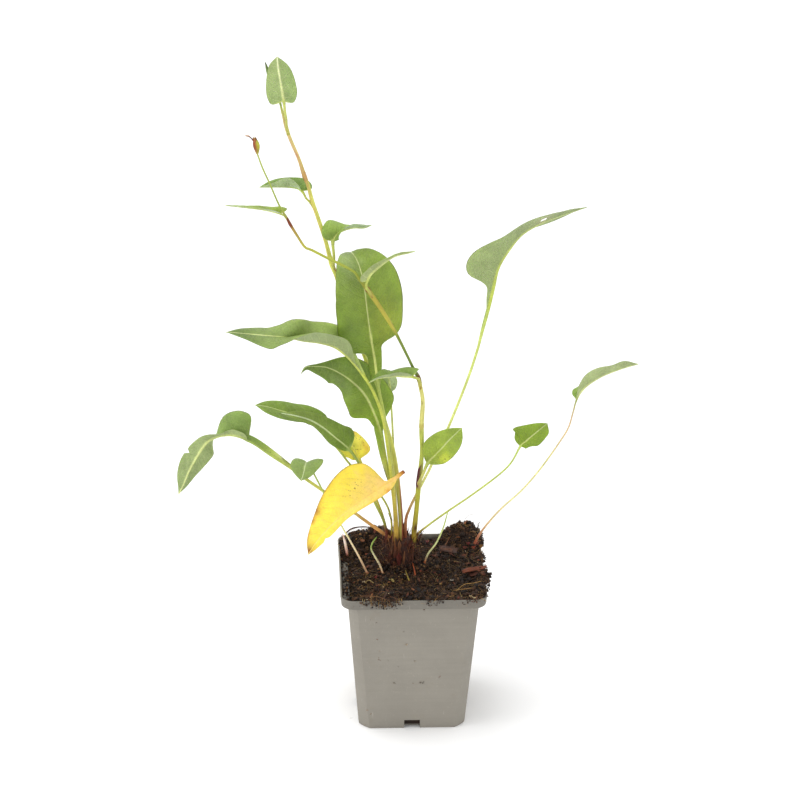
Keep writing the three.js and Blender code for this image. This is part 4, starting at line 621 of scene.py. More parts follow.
# The photographer's place, aim and lens
CAMERA_PLACE = (-0.08869, -1.7689, 1.02997)
CAMERA_TURN = 2.61
CAMERA_DIP = 24.83
CAMERA_ROLL = 0.577
CAMERA_LENS = 144.72


def linear(text):
    """A hex colour as linear red, green and blue."""
    values = [int(text[i:i + 2], 16) / 255 for i in (1, 3, 5)]
    return np.array([v / 12.92 if v <= 0.04045 else ((v + 0.055) / 1.055) ** 2.4 for v in values])


def smooth(low, high, value):
    """0 below low, 1 above high, with a soft change between."""
    share = np.clip((np.asarray(value, float) - low) / (high - low), 0, 1)
    return share * share * (3 - 2 * share)


def stops(pairs, value):
    """Colours between listed stops."""
    places, tones = zip(*pairs)
    channels = np.array([linear(tone) if isinstance(tone, str) else tone for tone in tones]).T
    return np.stack([np.interp(value, places, channel) for channel in channels], axis=-1)


def blend(first, second, share):
    """The first colour where the share is 0, the second where it is 1."""
    share = np.asarray(share)[..., None]
    return first * (1 - share) + second * share


def mottle(first, second, size, seed):
    """A soft random field from -1 to 1 over two directions, in patches of about the given size."""
    rng = np.random.default_rng(seed)
    total = 0
    for _ in range(5):
        angle = rng.uniform(0, math.tau)
        pitch = math.tau / (size * rng.uniform(1.4, 3))
        phase = rng.uniform(0, math.tau)
        total = total + np.sin(pitch * (math.cos(angle) * first + math.sin(angle) * second) + phase)
    return total / 3.2


def chosen(tones, count, rng):
    """Random colours from a list with shares."""
    texts, shares = zip(*tones)
    shares = np.array(shares, float)
    colours = np.array([linear(text) for text in texts])
    picked = colours[rng.choice(len(tones), count, p=shares / shares.sum())]
    return picked * rng.uniform(0.8, 1.25, (count, 1))


class Route:
    """A smooth line through points, measured in millimetres along its length."""

    def __init__(self, points, steps=30):
        held = np.array([point[:3] for point in points], float)
        ends = np.vstack([2 * held[0] - held[1], held, 2 * held[-1] - held[-2]])
        share = np.linspace(0, 1, steps + 1)[:, None]
        spans = []
        for before, start, end, after in zip(ends, ends[1:], ends[2:], ends[3:]):
            leave = (end - before) / 2
            arrive = (after - start) / 2
            bend = 3 * (end - start) - 2 * leave - arrive
            twist = 2 * (start - end) + leave + arrive
            spans.append(start + share * leave + share**2 * bend + share**3 * twist)
        self.line = np.vstack([span[:-1] for span in spans] + [spans[-1][-1:]])
        self.lengths = np.append(0, np.cumsum(np.linalg.norm(np.diff(self.line, axis=0), axis=1)))
        self.total = self.lengths[-1]
        self.marks = self.lengths[::steps]

    def at(self, length):
        length = np.clip(length, 0, self.total)
        return np.stack([np.interp(length, self.lengths, part) for part in self.line.T], axis=-1)

    def along(self, length):
        reach = min(0.5, self.total / 20)
        length = np.clip(length, 0, self.total)
        step = self.at(length + reach) - self.at(length - reach)
        return step / np.linalg.norm(step, axis=-1, keepdims=True)

    def radii(self, points):
        """Rows of length and radius from points that list their radius last."""
        return [(mark, point[3]) for mark, point in zip(self.marks, points)]


def between(rows, place, column):
    """Smooth value between the rows of a table whose first column is the place."""
    x, y = (np.array([row[k] for row in rows], float) for k in (0, column))
    row = np.arange(len(x))
    low, high = np.maximum(row - 1, 0), np.minimum(row + 1, len(x) - 1)
    slope = (y[high] - y[low]) / (x[high] - x[low])
    i = np.clip(np.searchsorted(x, place) - 1, 0, len(x) - 2)
    span = x[i + 1] - x[i]
    u = (place - x[i]) / span
    start = (2 * u**3 - 3 * u**2 + 1) * y[i]
    end = (3 * u**2 - 2 * u**3) * y[i + 1]
    return start + end + ((u**3 - 2 * u**2 + u) * slope[i] + (u**3 - u**2) * slope[i + 1]) * span


def square(up, along):
    """Directions made square to a line."""
    flat = up - along * np.sum(up * along, axis=-1, keepdims=True)
    return flat / np.linalg.norm(flat, axis=-1, keepdims=True)


def carried(up, alongs):
    """The upward side carried along a line from its first place, without twist."""
    ups = []
    for along in alongs:
        up = square(up, along)
        ups.append(up)
    return np.array(ups)


def placed(name, data):
    """A new object in the scene."""
    thing = bpy.data.objects.new(name, data)
    bpy.context.scene.collection.objects.link(thing)
    return thing


class Surface:
    """Collects the skins of one piece and makes its mesh."""

    def __init__(self):
        self.layers = []
        self.faces = []
        self.slots = []
        self.count = 0

    def add(self, points, faces, tone, grown=None, blade=0, speckle=0, slots=0):
        """Adds a skin. Each of its values is one for all points, or an array."""
        points = np.asarray(points, float).reshape(-1, 3)
        number = len(points)
        grown = points if grown is None else np.reshape(grown, (-1, 3))
        single = [np.broadcast_to(np.ravel(values), number) for values in (blade, speckle)]
        self.layers.append(np.column_stack([points, np.broadcast_to(tone, (number, 3)), grown, *single]))
        self.faces += [np.asarray(block) + self.count for block in faces]
        self.slots.append(np.broadcast_to(np.ravel(slots), sum(map(len, faces))))
        self.count += number

    def make(self, name, nodes, materials):
        """The finished piece, which rides on the root body and stands in for its nodes."""
        places, tones, grown, blade, speckle = np.split(np.vstack(self.layers), (3, 6, 9, 10), axis=1)
        corners = np.concatenate([block.ravel() for block in self.faces])
        sizes = np.concatenate([np.full(len(block), block.shape[1]) for block in self.faces])
        mesh = bpy.data.meshes.new(name)
        mesh.vertices.add(len(places))
        mesh.vertices.foreach_set("co", np.ravel(places * MM))
        mesh.loops.add(len(corners))
        mesh.loops.foreach_set("vertex_index", corners.astype(np.int32))
        mesh.polygons.add(len(sizes))
        mesh.polygons.foreach_set("loop_start", (np.cumsum(sizes) - sizes).astype(np.int32))
        mesh.polygons.foreach_set("material_index", np.concatenate(self.slots).astype(np.int32))
        tones = np.column_stack([np.clip(tones, 0, 1), np.ones(len(tones))])
        for title, kind, field, values in (("tone", "FLOAT_COLOR", "color", tones),
                ("grown", "FLOAT_VECTOR", "vector", grown), ("blade", "FLOAT", "value", blade),
                ("speckle", "FLOAT", "value", speckle)):
            mesh.attributes.new(title, kind, "POINT").data.foreach_set(field, np.ravel(values))
        mesh.update(calc_edges=True)
        mesh.shade_smooth()
        for material in materials:
            mesh.materials.append(material)
        piece = placed(name, mesh)
        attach(piece, "root")
        if nodes:
            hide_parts(*nodes)
        return piece


def ring_faces(rings, size):
    """Four-sided faces between rings of points that each close on themselves."""
    i = np.arange(size)
    after = (i + 1) % size
    row = (np.arange(rings - 1) * size)[:, None]
    return np.stack([row + i, row + after, row + size + after, row + size + i], axis=-1).reshape(-1, 4)


def closed_faces(rings, size):
    """Faces between rings, and fans that close both ends to the two points listed after the rings."""
    i = np.arange(size)
    after = (i + 1) % size
    middle = np.full(size, rings * size)
    last = (rings - 1) * size
    fans = [np.stack([after, i, middle], -1), np.stack([last + i, last + after, middle + 1], -1)]
    return [ring_faces(rings, size), np.vstack(fans)]


def add_tube(surface, route, radii, sides, step, tone, up=(0, -1, 0.2), shape=None, lengths=None):
    """A round skin along a route, from rows of length and radius. Shape and tone may be functions."""
    if lengths is None:
        lengths = np.linspace(0, route.total, max(3, int(route.total / step) + 1))
    along = route.along(lengths)
    ups = carried(np.array(up, float), along)
    side = np.cross(along, ups)
    length = lengths[:, None]
    angle = np.pi - np.arange(sides)[None] * math.tau / sides
    radius = between(radii, length, 1) * np.ones(sides)
    if shape:
        radius = shape(radius, length, angle)
    centre = route.at(lengths)[:, None]
    points = centre + side[:, None] * (radius * np.cos(angle))[..., None]
    points = points + ups[:, None] * (radius * np.sin(angle))[..., None]
    if callable(tone):
        tone = np.broadcast_to(tone(length, angle, points), points.shape).reshape(-1, 3)
        tone = np.vstack([tone, tone[:1], tone[-1:]])
    grown = np.stack([length + 0 * radius, angle * radius, 0 * radius], axis=-1).reshape(-1, 3)
    surface.add(np.vstack([points.reshape(-1, 3), centre[0], centre[-1]]), closed_faces(len(lengths), sides),
        tone, np.vstack([grown, (0, 0, 0), (route.total, 0, 0)]))


def add_sheet(surface, top, bottom, tones, grown, blade=0, speckle=0, hole=None, slots=(0, 1)):
    """A closed thin skin: an upper and a lower grid of equal size that share their two margins."""
    rows, columns = top.shape[:2]
    size = 2 * (columns - 1)

    def closed(upper, lower):
        """Values round both skins, and a value for the middle of either end."""
        whole = np.concatenate([upper, lower[:, -2:0:-1]], axis=1)
        ends = whole[[0, -1]].mean(1) if upper is top else whole[[0, -1], 0]
        return np.concatenate([whole.reshape((-1,) + whole.shape[2:]), ends])

    faces = closed_faces(rows, size)
    row, column = np.divmod(np.arange(len(faces[0])), size)
    skins = np.where(column < columns - 1, *slots)
    if hole:
        (low, high), (left, right) = hole
        over = (column >= left) & (column < right)
        under = (column >= size - right) & (column < size - left)
        keep = ~((row >= low) & (row < high) & (over | under))
        faces[0] = faces[0][keep]
        skins = skins[keep]
        border = [(low, c) for c in range(left, right)] + [(r, right) for r in range(low, high)]
        border += [(high, c) for c in range(right, left, -1)] + [(r, left) for r in range(high, low, -1)]
        rim = [(r * size + c, s * size + d, (s + 1) * size - d, (r + 1) * size - c)
            for (r, c), (s, d) in zip(border, border[1:] + border[:1])]
        faces.append(np.array(rim))
    skins = np.append(skins, [slots[1]] * sum(map(len, faces[1:])))
    blade, speckle = (closed(values, values) if np.ndim(values) else values for values in (blade, speckle))
    surface.add(closed(top, bottom), faces, closed(*tones), closed(grown, grown), blade, speckle, skins)


class Paint:
    """Builds a node material. Each method adds one node or a few and gives their result."""

    def __init__(self, name):
        self.material = bpy.data.materials.new(name)
        self.material.use_nodes = True
        self.nodes = self.material.node_tree.nodes
        self.links = self.material.node_tree.links

    def feed(self, node, inputs):
        for key, value in inputs.items():
            if isinstance(value, bpy.types.NodeSocket):
                self.links.new(value, node.inputs[key])
            elif value is not None:
                node.inputs[key].default_value = (*linear(value), 1) if isinstance(value, str) else value

    def node(self, kind, inputs, output=0, **fields):
        node = self.nodes.new("ShaderNode" + kind)
        for title, value in fields.items():
            setattr(node, title, value)
        self.feed(node, inputs)
        return node.outputs[output]

    def stored(self, name, kind="Fac"):
        return self.node("Attribute", {}, kind, attribute_name=name)

    def place(self):
        """The place on the piece in millimetres."""
        place = self.node("TexCoord", {}, "Object")
        return self.node("VectorMath", {0: place, "Scale": 1 / MM}, operation="SCALE")

    def split(self, vector):
        return self.node("SeparateXYZ", {0: vector}).node.outputs

    def stretched(self, vector, *shares):
        return self.node("VectorMath", {0: vector, 1: shares}, operation="MULTIPLY")

    def sum(self, operation, first, second=None):
        return self.node("Math", {0: first, 1: second}, operation=operation)

    def times(self, first, second):
        return self.sum("MULTIPLY", first, second)

    def less(self, first, second):
        return self.sum("SUBTRACT", first, second)

    def weighed(self, *pairs):
        """The sum of values that each count by their weight."""
        parts = [value if weight == 1 else self.times(value, weight) for value, weight in pairs]
        for part in parts[1:]:
            parts[0] = self.sum("ADD", parts[0], part)
        return parts[0]

    def span(self, value, low, high, start=0, end=1):
        """Runs from start to end as a value runs from low to high."""
        inputs = dict(enumerate((value, low, high, start, end)))
        return self.node("MapRange", inputs, interpolation_type="SMOOTHSTEP")

    def noise(self, vector, scale, detail=3, roughness=0.55):
        inputs = {"Vector": vector, "Scale": scale, "Detail": detail, "Roughness": roughness}
        return self.node("TexNoise", inputs, "Fac")

    def cells(self, vector, scale, feature="DISTANCE_TO_EDGE", output="Distance"):
        return self.node("TexVoronoi", {"Vector": vector, "Scale": scale}, output, feature=feature)

    def lines(self, value, low, high):
        """1 on a line, where the value is low."""
        return self.span(value, low, high, 1, 0)

    def flecks(self, vector, scale, lot, low, high, reach):
        """Small round flecks that gather in random places."""
        size = self.span(self.noise(lot, 0.5, 2), low, high, 0, reach)
        return self.lines(self.less(self.cells(vector, scale, "F1"), size), -0.05, 0.03)

    def mix(self, share, first, second, manner="MIX"):
        return self.node("Mix", {0: share, 6: first, 7: second}, 2, data_type="RGBA", blend_type=manner)

    def shade(self, colour, value, low, high, dark, light):
        """The colour made darker or lighter as a value runs from low to high."""
        return self.mix(1, colour, self.span(value, low, high, dark, light), "MULTIPLY")

    def bump(self, height, strength, depth):
        return self.node("Bump", {"Strength": strength, "Distance": depth * MM, "Height": height}, "Normal")

    def finish(self, colour, roughness, normal=None, gloss=0.4, **soft):
        inputs = {"Base Color": colour, "Roughness": roughness, "Normal": normal, "Specular IOR Level": gloss}
        inputs.update({f"Subsurface {title}": value for title, value in soft.items()})
        self.feed(self.nodes["Principled BSDF"], inputs)
        return self.material


def once(build, name, *values):
    """The material of this name, built the first time it is asked for."""
    return bpy.data.materials.get(name) or build(name, *values)


def leaf_skin(name, settings, under, papery):
    """Leaf skin: side veins that curve to the margin, a fine net between them, mottling and sheen."""
    paint = Paint(name)
    grown = paint.stored("grown", "Vector")
    blade = paint.stored("blade")
    length, across, edge = paint.split(grown)
    flat = paint.stretched(grown, 1, 1, 0)
    reach = paint.sum("ABSOLUTE", across)
    curve = paint.weighed((length, 1), (reach, -VEIN_LEAN), (paint.times(reach, reach), -VEIN_BEND),
        (paint.noise(flat, 0.12, 1), 2.6))
    phase = paint.weighed((paint.sum("DIVIDE", curve, settings.vein_spacing / MM), 1),
        (paint.sum("GREATER_THAN", across, 0), 0.5))
    veins = paint.lines(paint.sum("PINGPONG", phase, 0.5), 0.03, 0.085)
    veins = paint.times(veins, paint.times(blade, paint.lines(edge, 0.7, 0.98)))
    net = paint.times(paint.lines(paint.cells(flat, 0.62), 0.02, 0.12), blade)
    fine = paint.times(paint.lines(paint.cells(flat, 1.5), 0, 0.2), blade)
    grain = paint.noise(flat, 0.9, 4, 0.7)
    uneven = 0.35 if papery else 1
    colour = paint.stored("tone", "Color")
    colour = paint.shade(colour, paint.noise(flat, 0.09), 0.3, 0.7, 1 - 0.13 * uneven, 1 + 0.2 * uneven)
    colour = paint.shade(colour, grain, 0.25, 0.75, 1 - 0.16 * uneven, 1 + 0.14 * uneven)
    pale, deep = ("#cbd49a", "#8ea46c") if under else ("#a9bb62", "#6c8a36")
    if papery:
        pale, deep = "#dfd07a", "#d8a83c"
    dots = paint.times(paint.flecks(flat, 0.8, flat, 0.4, 0.7, 0.36),
        paint.sum("MINIMUM", paint.stored("speckle"), 1))
    dust = paint.span(paint.noise(flat, 2.4, 2), 0.7, 0.78)
    for layer, strength, tint in ((fine, 0.32 * uneven, deep), (net, 0.16 if under else 0.1, pale),
            (veins, 0.26 if under else 0.13, pale), (paint.span(edge, 0.975, 1), 0.2, pale),
            (dots, 1, "#4c2c1a"), (dust, 0.08, "#c8c6a0")):
        colour = paint.mix(paint.weighed((layer, strength)), colour, tint)
    heights = (1, 0.55, 0.2, 0.35) if under else (-0.7, -0.4, -0.2, 0.35)
    height = paint.weighed(*zip((veins, net, fine, grain), heights))
    base = (settings.lower_roughness if under else settings.upper_roughness) + 0.1 * papery
    gloss = paint.span(grain, 0.3, 0.7, base - 0.05, base + 0.08)
    return paint.finish(colour, gloss, paint.bump(height, 0.9, 0.26), 0.33, Weight=0.12, Radius=(0.7, 1, 0.3),
        Scale=0.8 * MM)


def stem_skin(name, settings):
    """Stem skin: fine lengthwise ribs and streaks, small rusty specks and a satin sheen."""
    paint = Paint(name)
    grown = paint.stored("grown", "Vector")
    streak = paint.noise(paint.stretched(grown, 0.12, 1.6, 0), 1, 4, 0.6)
    rib = paint.noise(paint.stretched(grown, 0.03, 3.2, 0), 1, 2, 0.5)
    grain = paint.noise(grown, 2.2, 3, 0.7)
    colour = paint.shade(paint.stored("tone", "Color"), streak, 0.3, 0.7, 0.84, 1.14)
    colour = paint.shade(colour, grain, 0.2, 0.8, 0.94, 1.06)
    dots = paint.flecks(paint.stretched(grown, 0.45, 1, 0), 0.9, grown, 0.55, 0.75, 0.3)
    colour = paint.mix(paint.times(dots, 0.7), colour, "#8a5230")
    normal = paint.bump(paint.weighed((rib, 1.2), (grain, 0.4)), 0.5, 0.14)
    gloss = paint.span(streak, 0.3, 0.7, settings.roughness - 0.06, settings.roughness + 0.08)
    return paint.finish(colour, gloss, normal, 0.28, Weight=0.1, Radius=(0.8, 1, 0.3), Scale=MM)


def husk_skin(name, roughness=0.62):
    """Dry fibrous husk of the crown's sheaths and the flower head's scales."""
    paint = Paint(name)
    fibre = paint.noise(paint.stretched(paint.stored("grown", "Vector"), 0.18, 2.6, 0.3), 1, 4, 0.65)
    patch = paint.noise(paint.place(), 0.35)
    colour = paint.shade(paint.stored("tone", "Color"), fibre, 0.3, 0.7, 0.62, 1.3)
    colour = paint.shade(colour, patch, 0.3, 0.7, 0.8, 1.2)
    gloss = paint.span(patch, 0.35, 0.65, roughness - 0.1, roughness + 0.15)
    return paint.finish(colour, gloss, paint.bump(fibre, 0.8, 0.4))


def earth_skin(name, damp):
    """Peaty compost: dark grains with lighter flecks, damp in places."""
    paint = Paint(name)
    place = paint.place()
    grain = paint.noise(place, 1.4, 5, 0.7)
    light = paint.split(paint.cells(place, 1.1, "F1", "Color"))[0]
    patch = paint.noise(place, 0.12)
    colour = paint.shade(paint.stored("tone", "Color"), grain, 0.3, 0.7, 0.6, 1.35)
    colour = paint.shade(colour, light, 0, 1, 0.75, 1.25)
    colour = paint.shade(colour, patch, 0.35, 0.65, 0.85, 1.15)
    gloss = paint.span(patch, 0.4, 0.62, 0.95 - damp, 0.9)
    return paint.finish(colour, gloss, paint.bump(grain, 0.9, 0.5), 0.35)


def pot_skin(name, settings):
    """Dull moulded plastic: faint flow marks, dust, scuffs, and a film of wet soil on the inside."""
    paint = Paint(name)
    place = paint.place()
    dust = paint.noise(place, 0.35, 5, 0.75)
    film = paint.span(paint.noise(place, 0.18, 5, 0.7), 0.38, 0.56)
    film = paint.times(paint.stored("speckle"), film)
    cloud = paint.noise(place, 0.035, 4, 0.6)
    flow = paint.noise(paint.stretched(place, 0.02, 0.02, 0.6), 1)
    colour = paint.shade(paint.stored("tone", "Color"), cloud, 0.3, 0.7, 0.955, 1.04)
    colour = paint.shade(colour, flow, 0.3, 0.7, 0.98, 1.02)
    stain = paint.span(paint.noise(place, 0.09, 5, 0.65), 0.56, 0.78, 0, 0.3)
    scratch = paint.span(paint.noise(paint.stretched(place, 0.9, 0.9, 0.08), 1, 2), 0.7, 0.76, 0, 0.22)
    for layer, tint in ((paint.span(dust, 0.56, 0.8, 0, 0.35), "#b3ada0"), (stain, "#857a68"),
            (scratch, "#c4bfb3"), (film, "#231a12")):
        colour = paint.mix(layer, colour, tint)
    height = paint.weighed((paint.noise(place, 1.8, 3, 0.6), 0.5), (dust, 0.5))
    rough = paint.span(dust, 0.3, 0.7, settings.roughness - 0.06, settings.roughness + 0.08)
    return paint.finish(colour, paint.less(rough, paint.times(film, 0.36)), paint.bump(height, 0.35, 0.12))


def backdrop_skin(name, colour):
    paint = Paint(name)
    soft = paint.shade((*colour, 1), paint.noise(paint.place(), 0.004, 2), 0.3, 0.7, 0.99, 1.01)
    return paint.finish(soft, 0.9, gloss=0.1)


# Places across a blade, from its midrib to its margin
HALF_COLUMNS = np.array([0, 0.03, 0.075, 0.13, 0.22, 0.34, 0.47, 0.6, 0.73, 0.85, 0.94, 1])


def joined_stalk(name, stalk):
    """The stalk of a stem leaf with its foot run into the stem."""
    line = Route(STEMS["stem_tall" if name.startswith("tall_leaf") else "stem_bud"])
    foot = np.array(stalk[0], float)
    nearest = line.lengths[np.argmin(np.linalg.norm(line.line - foot, axis=1))]
    low, middle = line.at(np.maximum(nearest - np.array([9, 4]), 0))
    return [tuple(low), tuple(middle + (foot - middle) * 0.45)] + stalk


def grow_leaf(name, leaf, settings, seed):
    """One leaf from the foot of its stalk to its tip, as a closed thin skin."""
    look = {**PLAIN_LEAF, **LEAF_LOOKS.get(name, {})}
    stalk = joined_stalk(name, leaf["stalk"]) if name in STEM_LEAVES else leaf["stalk"]
    route = Route(stalk + leaf["rib"])
    join = route.marks[len(stalk)]
    blade_length = route.total - join
    low = np.linspace(0, join, max(4, int(join / 2.6)), endpoint=False)
    share = np.linspace(0, 1, int(np.clip(blade_length * 0.9, 44, 96)))
    place = share - 0.45 * np.sin(math.tau * share) / math.tau
    lengths = np.append(low, join + place * blade_length)
    past_join = lengths - join
    place = past_join / blade_length
    here = np.clip(place, 0, 1)
    run = np.clip(lengths / join, 0, 1)

    along = route.along(lengths)
    ups = leaf["up"]
    blade_up = square(stops(enumerate(ups), here * (len(ups) - 1)), along)
    feet = len(low)
    up = np.vstack([carried(blade_up[feet], along[:feet][::-1])[::-1], blade_up[feet:]])
    side = np.cross(along, up)

    wing_side, start, widest, wing = LEAF_WINGS.get(name, (None, 0, 1, 0))
    flat = np.maximum(smooth(0, 0.05, place), 0.8 * (wing > 0) * smooth(-24, -2, past_join))
    on_stalk = np.interp(run, (0, 1), leaf["radius"]) * np.interp(run, (0, 1), STALK_SLIM.get(name, (1, 1)))
    neck = leaf["radius"][1]
    rib = np.where(place < 0, on_stalk * (1 + 0.45 * np.exp(-lengths / 7)), neck * (1 - here) + 0.3 * here)
    before = np.exp(np.minimum(past_join, 0) / 4)

    columns = np.append(-HALF_COLUMNS[:0:-1], HALF_COLUMNS)
    share = np.abs(columns)[None]
    sign = np.where(columns < 0, -1.0, 1.0)[None]
    last = leaf["blade"][-1]
    rows = [*leaf["blade"], (1, 0, last[2], 0, last[4])]
    nick = LEAF_NICKS.get(name)
    halves = []
    for half, first in ((0, 1), (1, 3)):
        reach = np.maximum(between(rows, here, first), 0.12)
        reach = np.where(place < 0, rib + (reach - rib) * before, reach)
        if wing_side == half:
            run_out = smooth(start, widest, past_join) * smooth(15, 1, past_join)
            reach = np.maximum(reach, rib + wing * run_out)
        if nick and nick[0] == half:
            reach = reach * (1 - nick[3] * np.exp(-(((place - nick[1]) / nick[2]) ** 2)))
        sweep = np.where(place < 0, 0, leaf.get("lobe", (0, 0))[half] * reach * (1 - here) ** 3)
        halves.append((reach, np.radians(between(rows, here, first + 1)), sweep))
    width, lift, pull = (np.where(columns < 0, left[:, None], right[:, None]) for left, right in zip(*halves))

    centre, along, up, side = (vectors[:, None] for vectors in (route.at(lengths), along, up, side))
    length, flat, radius = (values[:, None] for values in (lengths, flat, rib))
    side = side * sign[..., None]
    cosine, sine = np.cos(lift)[..., None], np.sin(lift)[..., None]
    outward = cosine * side + sine * up
    normal = cosine * up - sine * side
    across = width * share
    signed = sign * across
    arch = 0.28 * across * (1 - share) * flat
    middle = centre + outward * across[..., None] + normal * arch[..., None]
    middle = middle - along * (pull * share)[..., None]

    size = np.minimum(width, 20) / 20
    spacing = settings.vein_spacing / MM
    curve = length - VEIN_LEAN * across - VEIN_BEND * across**2 + 0.5 * (sign > 0) * spacing
    ripple = settings.ripple / MM * np.cos(math.tau * curve / spacing)
    ripple = ripple * smooth(0.1, 0.4, share) * smooth(1, 0.75, share) * (0.3 + 0.7 * size)
    drape = mottle(length, signed, 22, seed) * 0.5 * smooth(0.15, 0.8, share) * size
    frill = mottle(length, sign * 40, 7, seed + 7) * 0.28 * smooth(0.6, 1, share) * (0.3 + size)
    relief = (ripple + drape + frill) * flat * smooth(1, 0.94, here)[:, None]
    middle = middle + normal * relief[..., None]

    sheet = settings.thickness / MM / 2 * (1 - share**4) * flat
    hump = np.sqrt(np.maximum(radius**2 - across**2, 0))
    groove = 0.16 * radius * np.exp(-((across / (0.55 * radius)) ** 2))
    above = (sheet + 0.75 * hump * (1 - flat) - groove * flat) * (share < 1)
    below = (sheet + hump * (1 - 0.15 * flat)) * (share < 1)
    top = middle + normal * above[..., None]
    bottom = middle - normal * below[..., None]

    shade = 1 + 0.07 * mottle(length, signed, 11, seed + 1) + 0.05 * mottle(length, signed, 4, seed + 2)
    core = blend(stops(look["stalk"], run), stops(enumerate(look["rib"]), here), smooth(-0.02, 0.1, place))
    worn = 1 + 0.4 * mottle(length, signed, 3, seed + 3)
    beside = across / np.maximum(radius, 0.3)

    def apart(place, at, out, long, broad):
        """How far the places of the blade lie from a mark, in squares of its reach."""
        return ((place[:, None] - at) / long) ** 2 + ((columns - out) / broad) ** 2

    tones = []
    for face, reach in (("upper", 0.62), ("lower", 1.15)):
        skin = stops(enumerate(look[face]), here)[:, None] * shade[..., None]
        for kind, *spot, colour, strength in look["marks"]:
            if kind in (face, "both"):
                amount = strength * np.exp(-np.maximum(apart(here, *spot) * worn, 0))
                skin = blend(skin, linear(colour), amount)
        tones.append(blend(skin, core[:, None], np.maximum(smooth(1.5, 0.9, beside / reach), 1 - flat)))
    speckle = sum(strength * np.exp(-apart(place, *spot)) for *spot, strength in look["speckle"])
    hole = None
    if name in LEAF_HOLES:
        hole = [[int(np.abs(values - end).argmin()) for end in ends]
            for values, ends in zip((place, columns), LEAF_HOLES[name])]
    grown = np.stack([length + 0 * width, signed, share * flat], axis=-1)
    surface = Surface()
    add_sheet(surface, top, bottom, tones, grown, flat * smooth(0.9, 1.5, beside), speckle, hole)
    papery = name in PAPERY_LEAVES
    kind = "papery leaf" if papery else "leaf"
    skins = [once(leaf_skin, f"{kind} {face} side", settings, face == "under", papery)
        for face in ("upper", "under")]
    return surface.make(f"{name}_grown", [name], skins)


def grow_stem(name, settings, seed):
    """A stem or shoot with its node sheaths, fine ribs and scars in one skin."""
    route = Route(STEMS[name])
    heights = route.line[:, 2]
    sheaths = []
    lengths = [np.arange(0, route.total, settings.step / MM), [route.total]]
    for low, high, slant, swell, colour, bare in STEM_SHEATHS.get(name, []):
        start, end = np.interp((low, high), heights, route.lengths)
        sheaths.append((start, end, slant, swell, linear(colour), bare))
        lengths.append(np.arange(start - 1.5, end + slant + 1.5, 0.4))
    lengths = np.unique(np.round(np.clip(np.concatenate(lengths), 0, route.total), 2))

    def torn_rim(end, slant, angle):
        return end + slant * np.cos(angle - 0.6) + 0.35 * np.cos(5 * angle + seed)

    def shape(radius, length, angle):
        ribbed = 1 + 0.035 * np.cos(9 * angle + 0.04 * length) + 0.02 * np.cos(5 * angle + 1)
        slim = np.interp(np.interp(length, route.lengths, heights), *zip(*STEM_SLIM.get(name, [(0, 1)])))
        result = radius * slim * ribbed * (1 + 0.03 * mottle(length, 0 * angle, 9, seed))
        for start, end, slant, swell, _, _ in sheaths:
            rim = torn_rim(end, slant, angle)
            inside = smooth(start, start + 1.6, length) * smooth(rim + 0.12, rim - 0.12, length)
            result = result + swell * inside
        return result

    def tone(length, angle, points):
        height = points[..., 2]
        colour = stops(STEM_TONES[name], height)
        if name in STEM_LEFT_TONES:
            left = smooth(0.75, -0.1, np.cos(angle) + 0 * length)
            colour = blend(colour, stops(STEM_LEFT_TONES[name], height), left)
        for level, turn, reach, text in STEM_SCARS.get(name, []):
            apart = np.angle(np.exp(1j * (angle - np.pi / 2 - turn)))
            spread = ((height - level) / reach) ** 2 + (apart / (0.32 * reach)) ** 2
            colour = blend(colour, linear(text), np.exp(-spread))
        for start, end, slant, _, paper, bare in sheaths:
            rim = torn_rim(end, slant, angle)
            inside = smooth(start - 1.6, start + 1.6, length) * smooth(rim + 0.8, rim - 0.6, length)
            colour = blend(colour, paper, inside * (1 - bare * smooth(-0.5, 0.6, np.cos(angle))))
        return colour * (1 + 0.06 * mottle(length, angle * 2, 5, seed + 3))[..., None]

    surface = Surface()
    add_tube(surface, route, route.radii(STEMS[name]), settings.sides, 2, tone, shape=shape, lengths=lengths)
    skin = once(stem_skin, "stem skin", settings)
    return surface.make(f"{name}_grown", [name], [skin])


def add_scale(surface, base, direction, up, length, width, cup, curl, colours, thickness, seed):
    """One small husk or scale: a cupped strip that narrows to a torn point."""
    direction = np.array(direction, float) / np.linalg.norm(direction)
    up = square(np.array(up, float), direction)
    side = np.cross(direction, up)
    share = np.linspace(0, 1, 12)[:, None]
    column = np.linspace(-1, 1, 7)[None]
    half = width / 2 * (0.75 + 0.5 * np.sin(math.pi * share * 0.8)) * (1 - share**2.5) + 0.04
    half = half * (1 + 0.12 * np.sin(9 * share + seed)) / max(math.sin(cup), 0.3)
    run = length * share
    x = half * np.sin(column * cup)
    z = -half * (1 - np.cos(column * cup)) + run * np.sin(curl * share) * 0.5
    y = run * np.cos(curl * share * 0.5) + 0.3 * np.sin(4 * column + seed) * share
    middle = np.asarray(base) + x[..., None] * side + y[..., None] * direction + z[..., None] * up
    rise = up * (thickness / 2 * (1 - np.abs(column) ** 3) * (1 - 0.6 * share))[..., None]
    tone = stops(enumerate(colours), share + 0 * column)
    grown = np.stack([run + 0 * column + seed, x + seed, z], axis=-1)
    add_sheet(surface, middle + rise, middle - rise, (tone, tone), grown, slots=(0, 0))


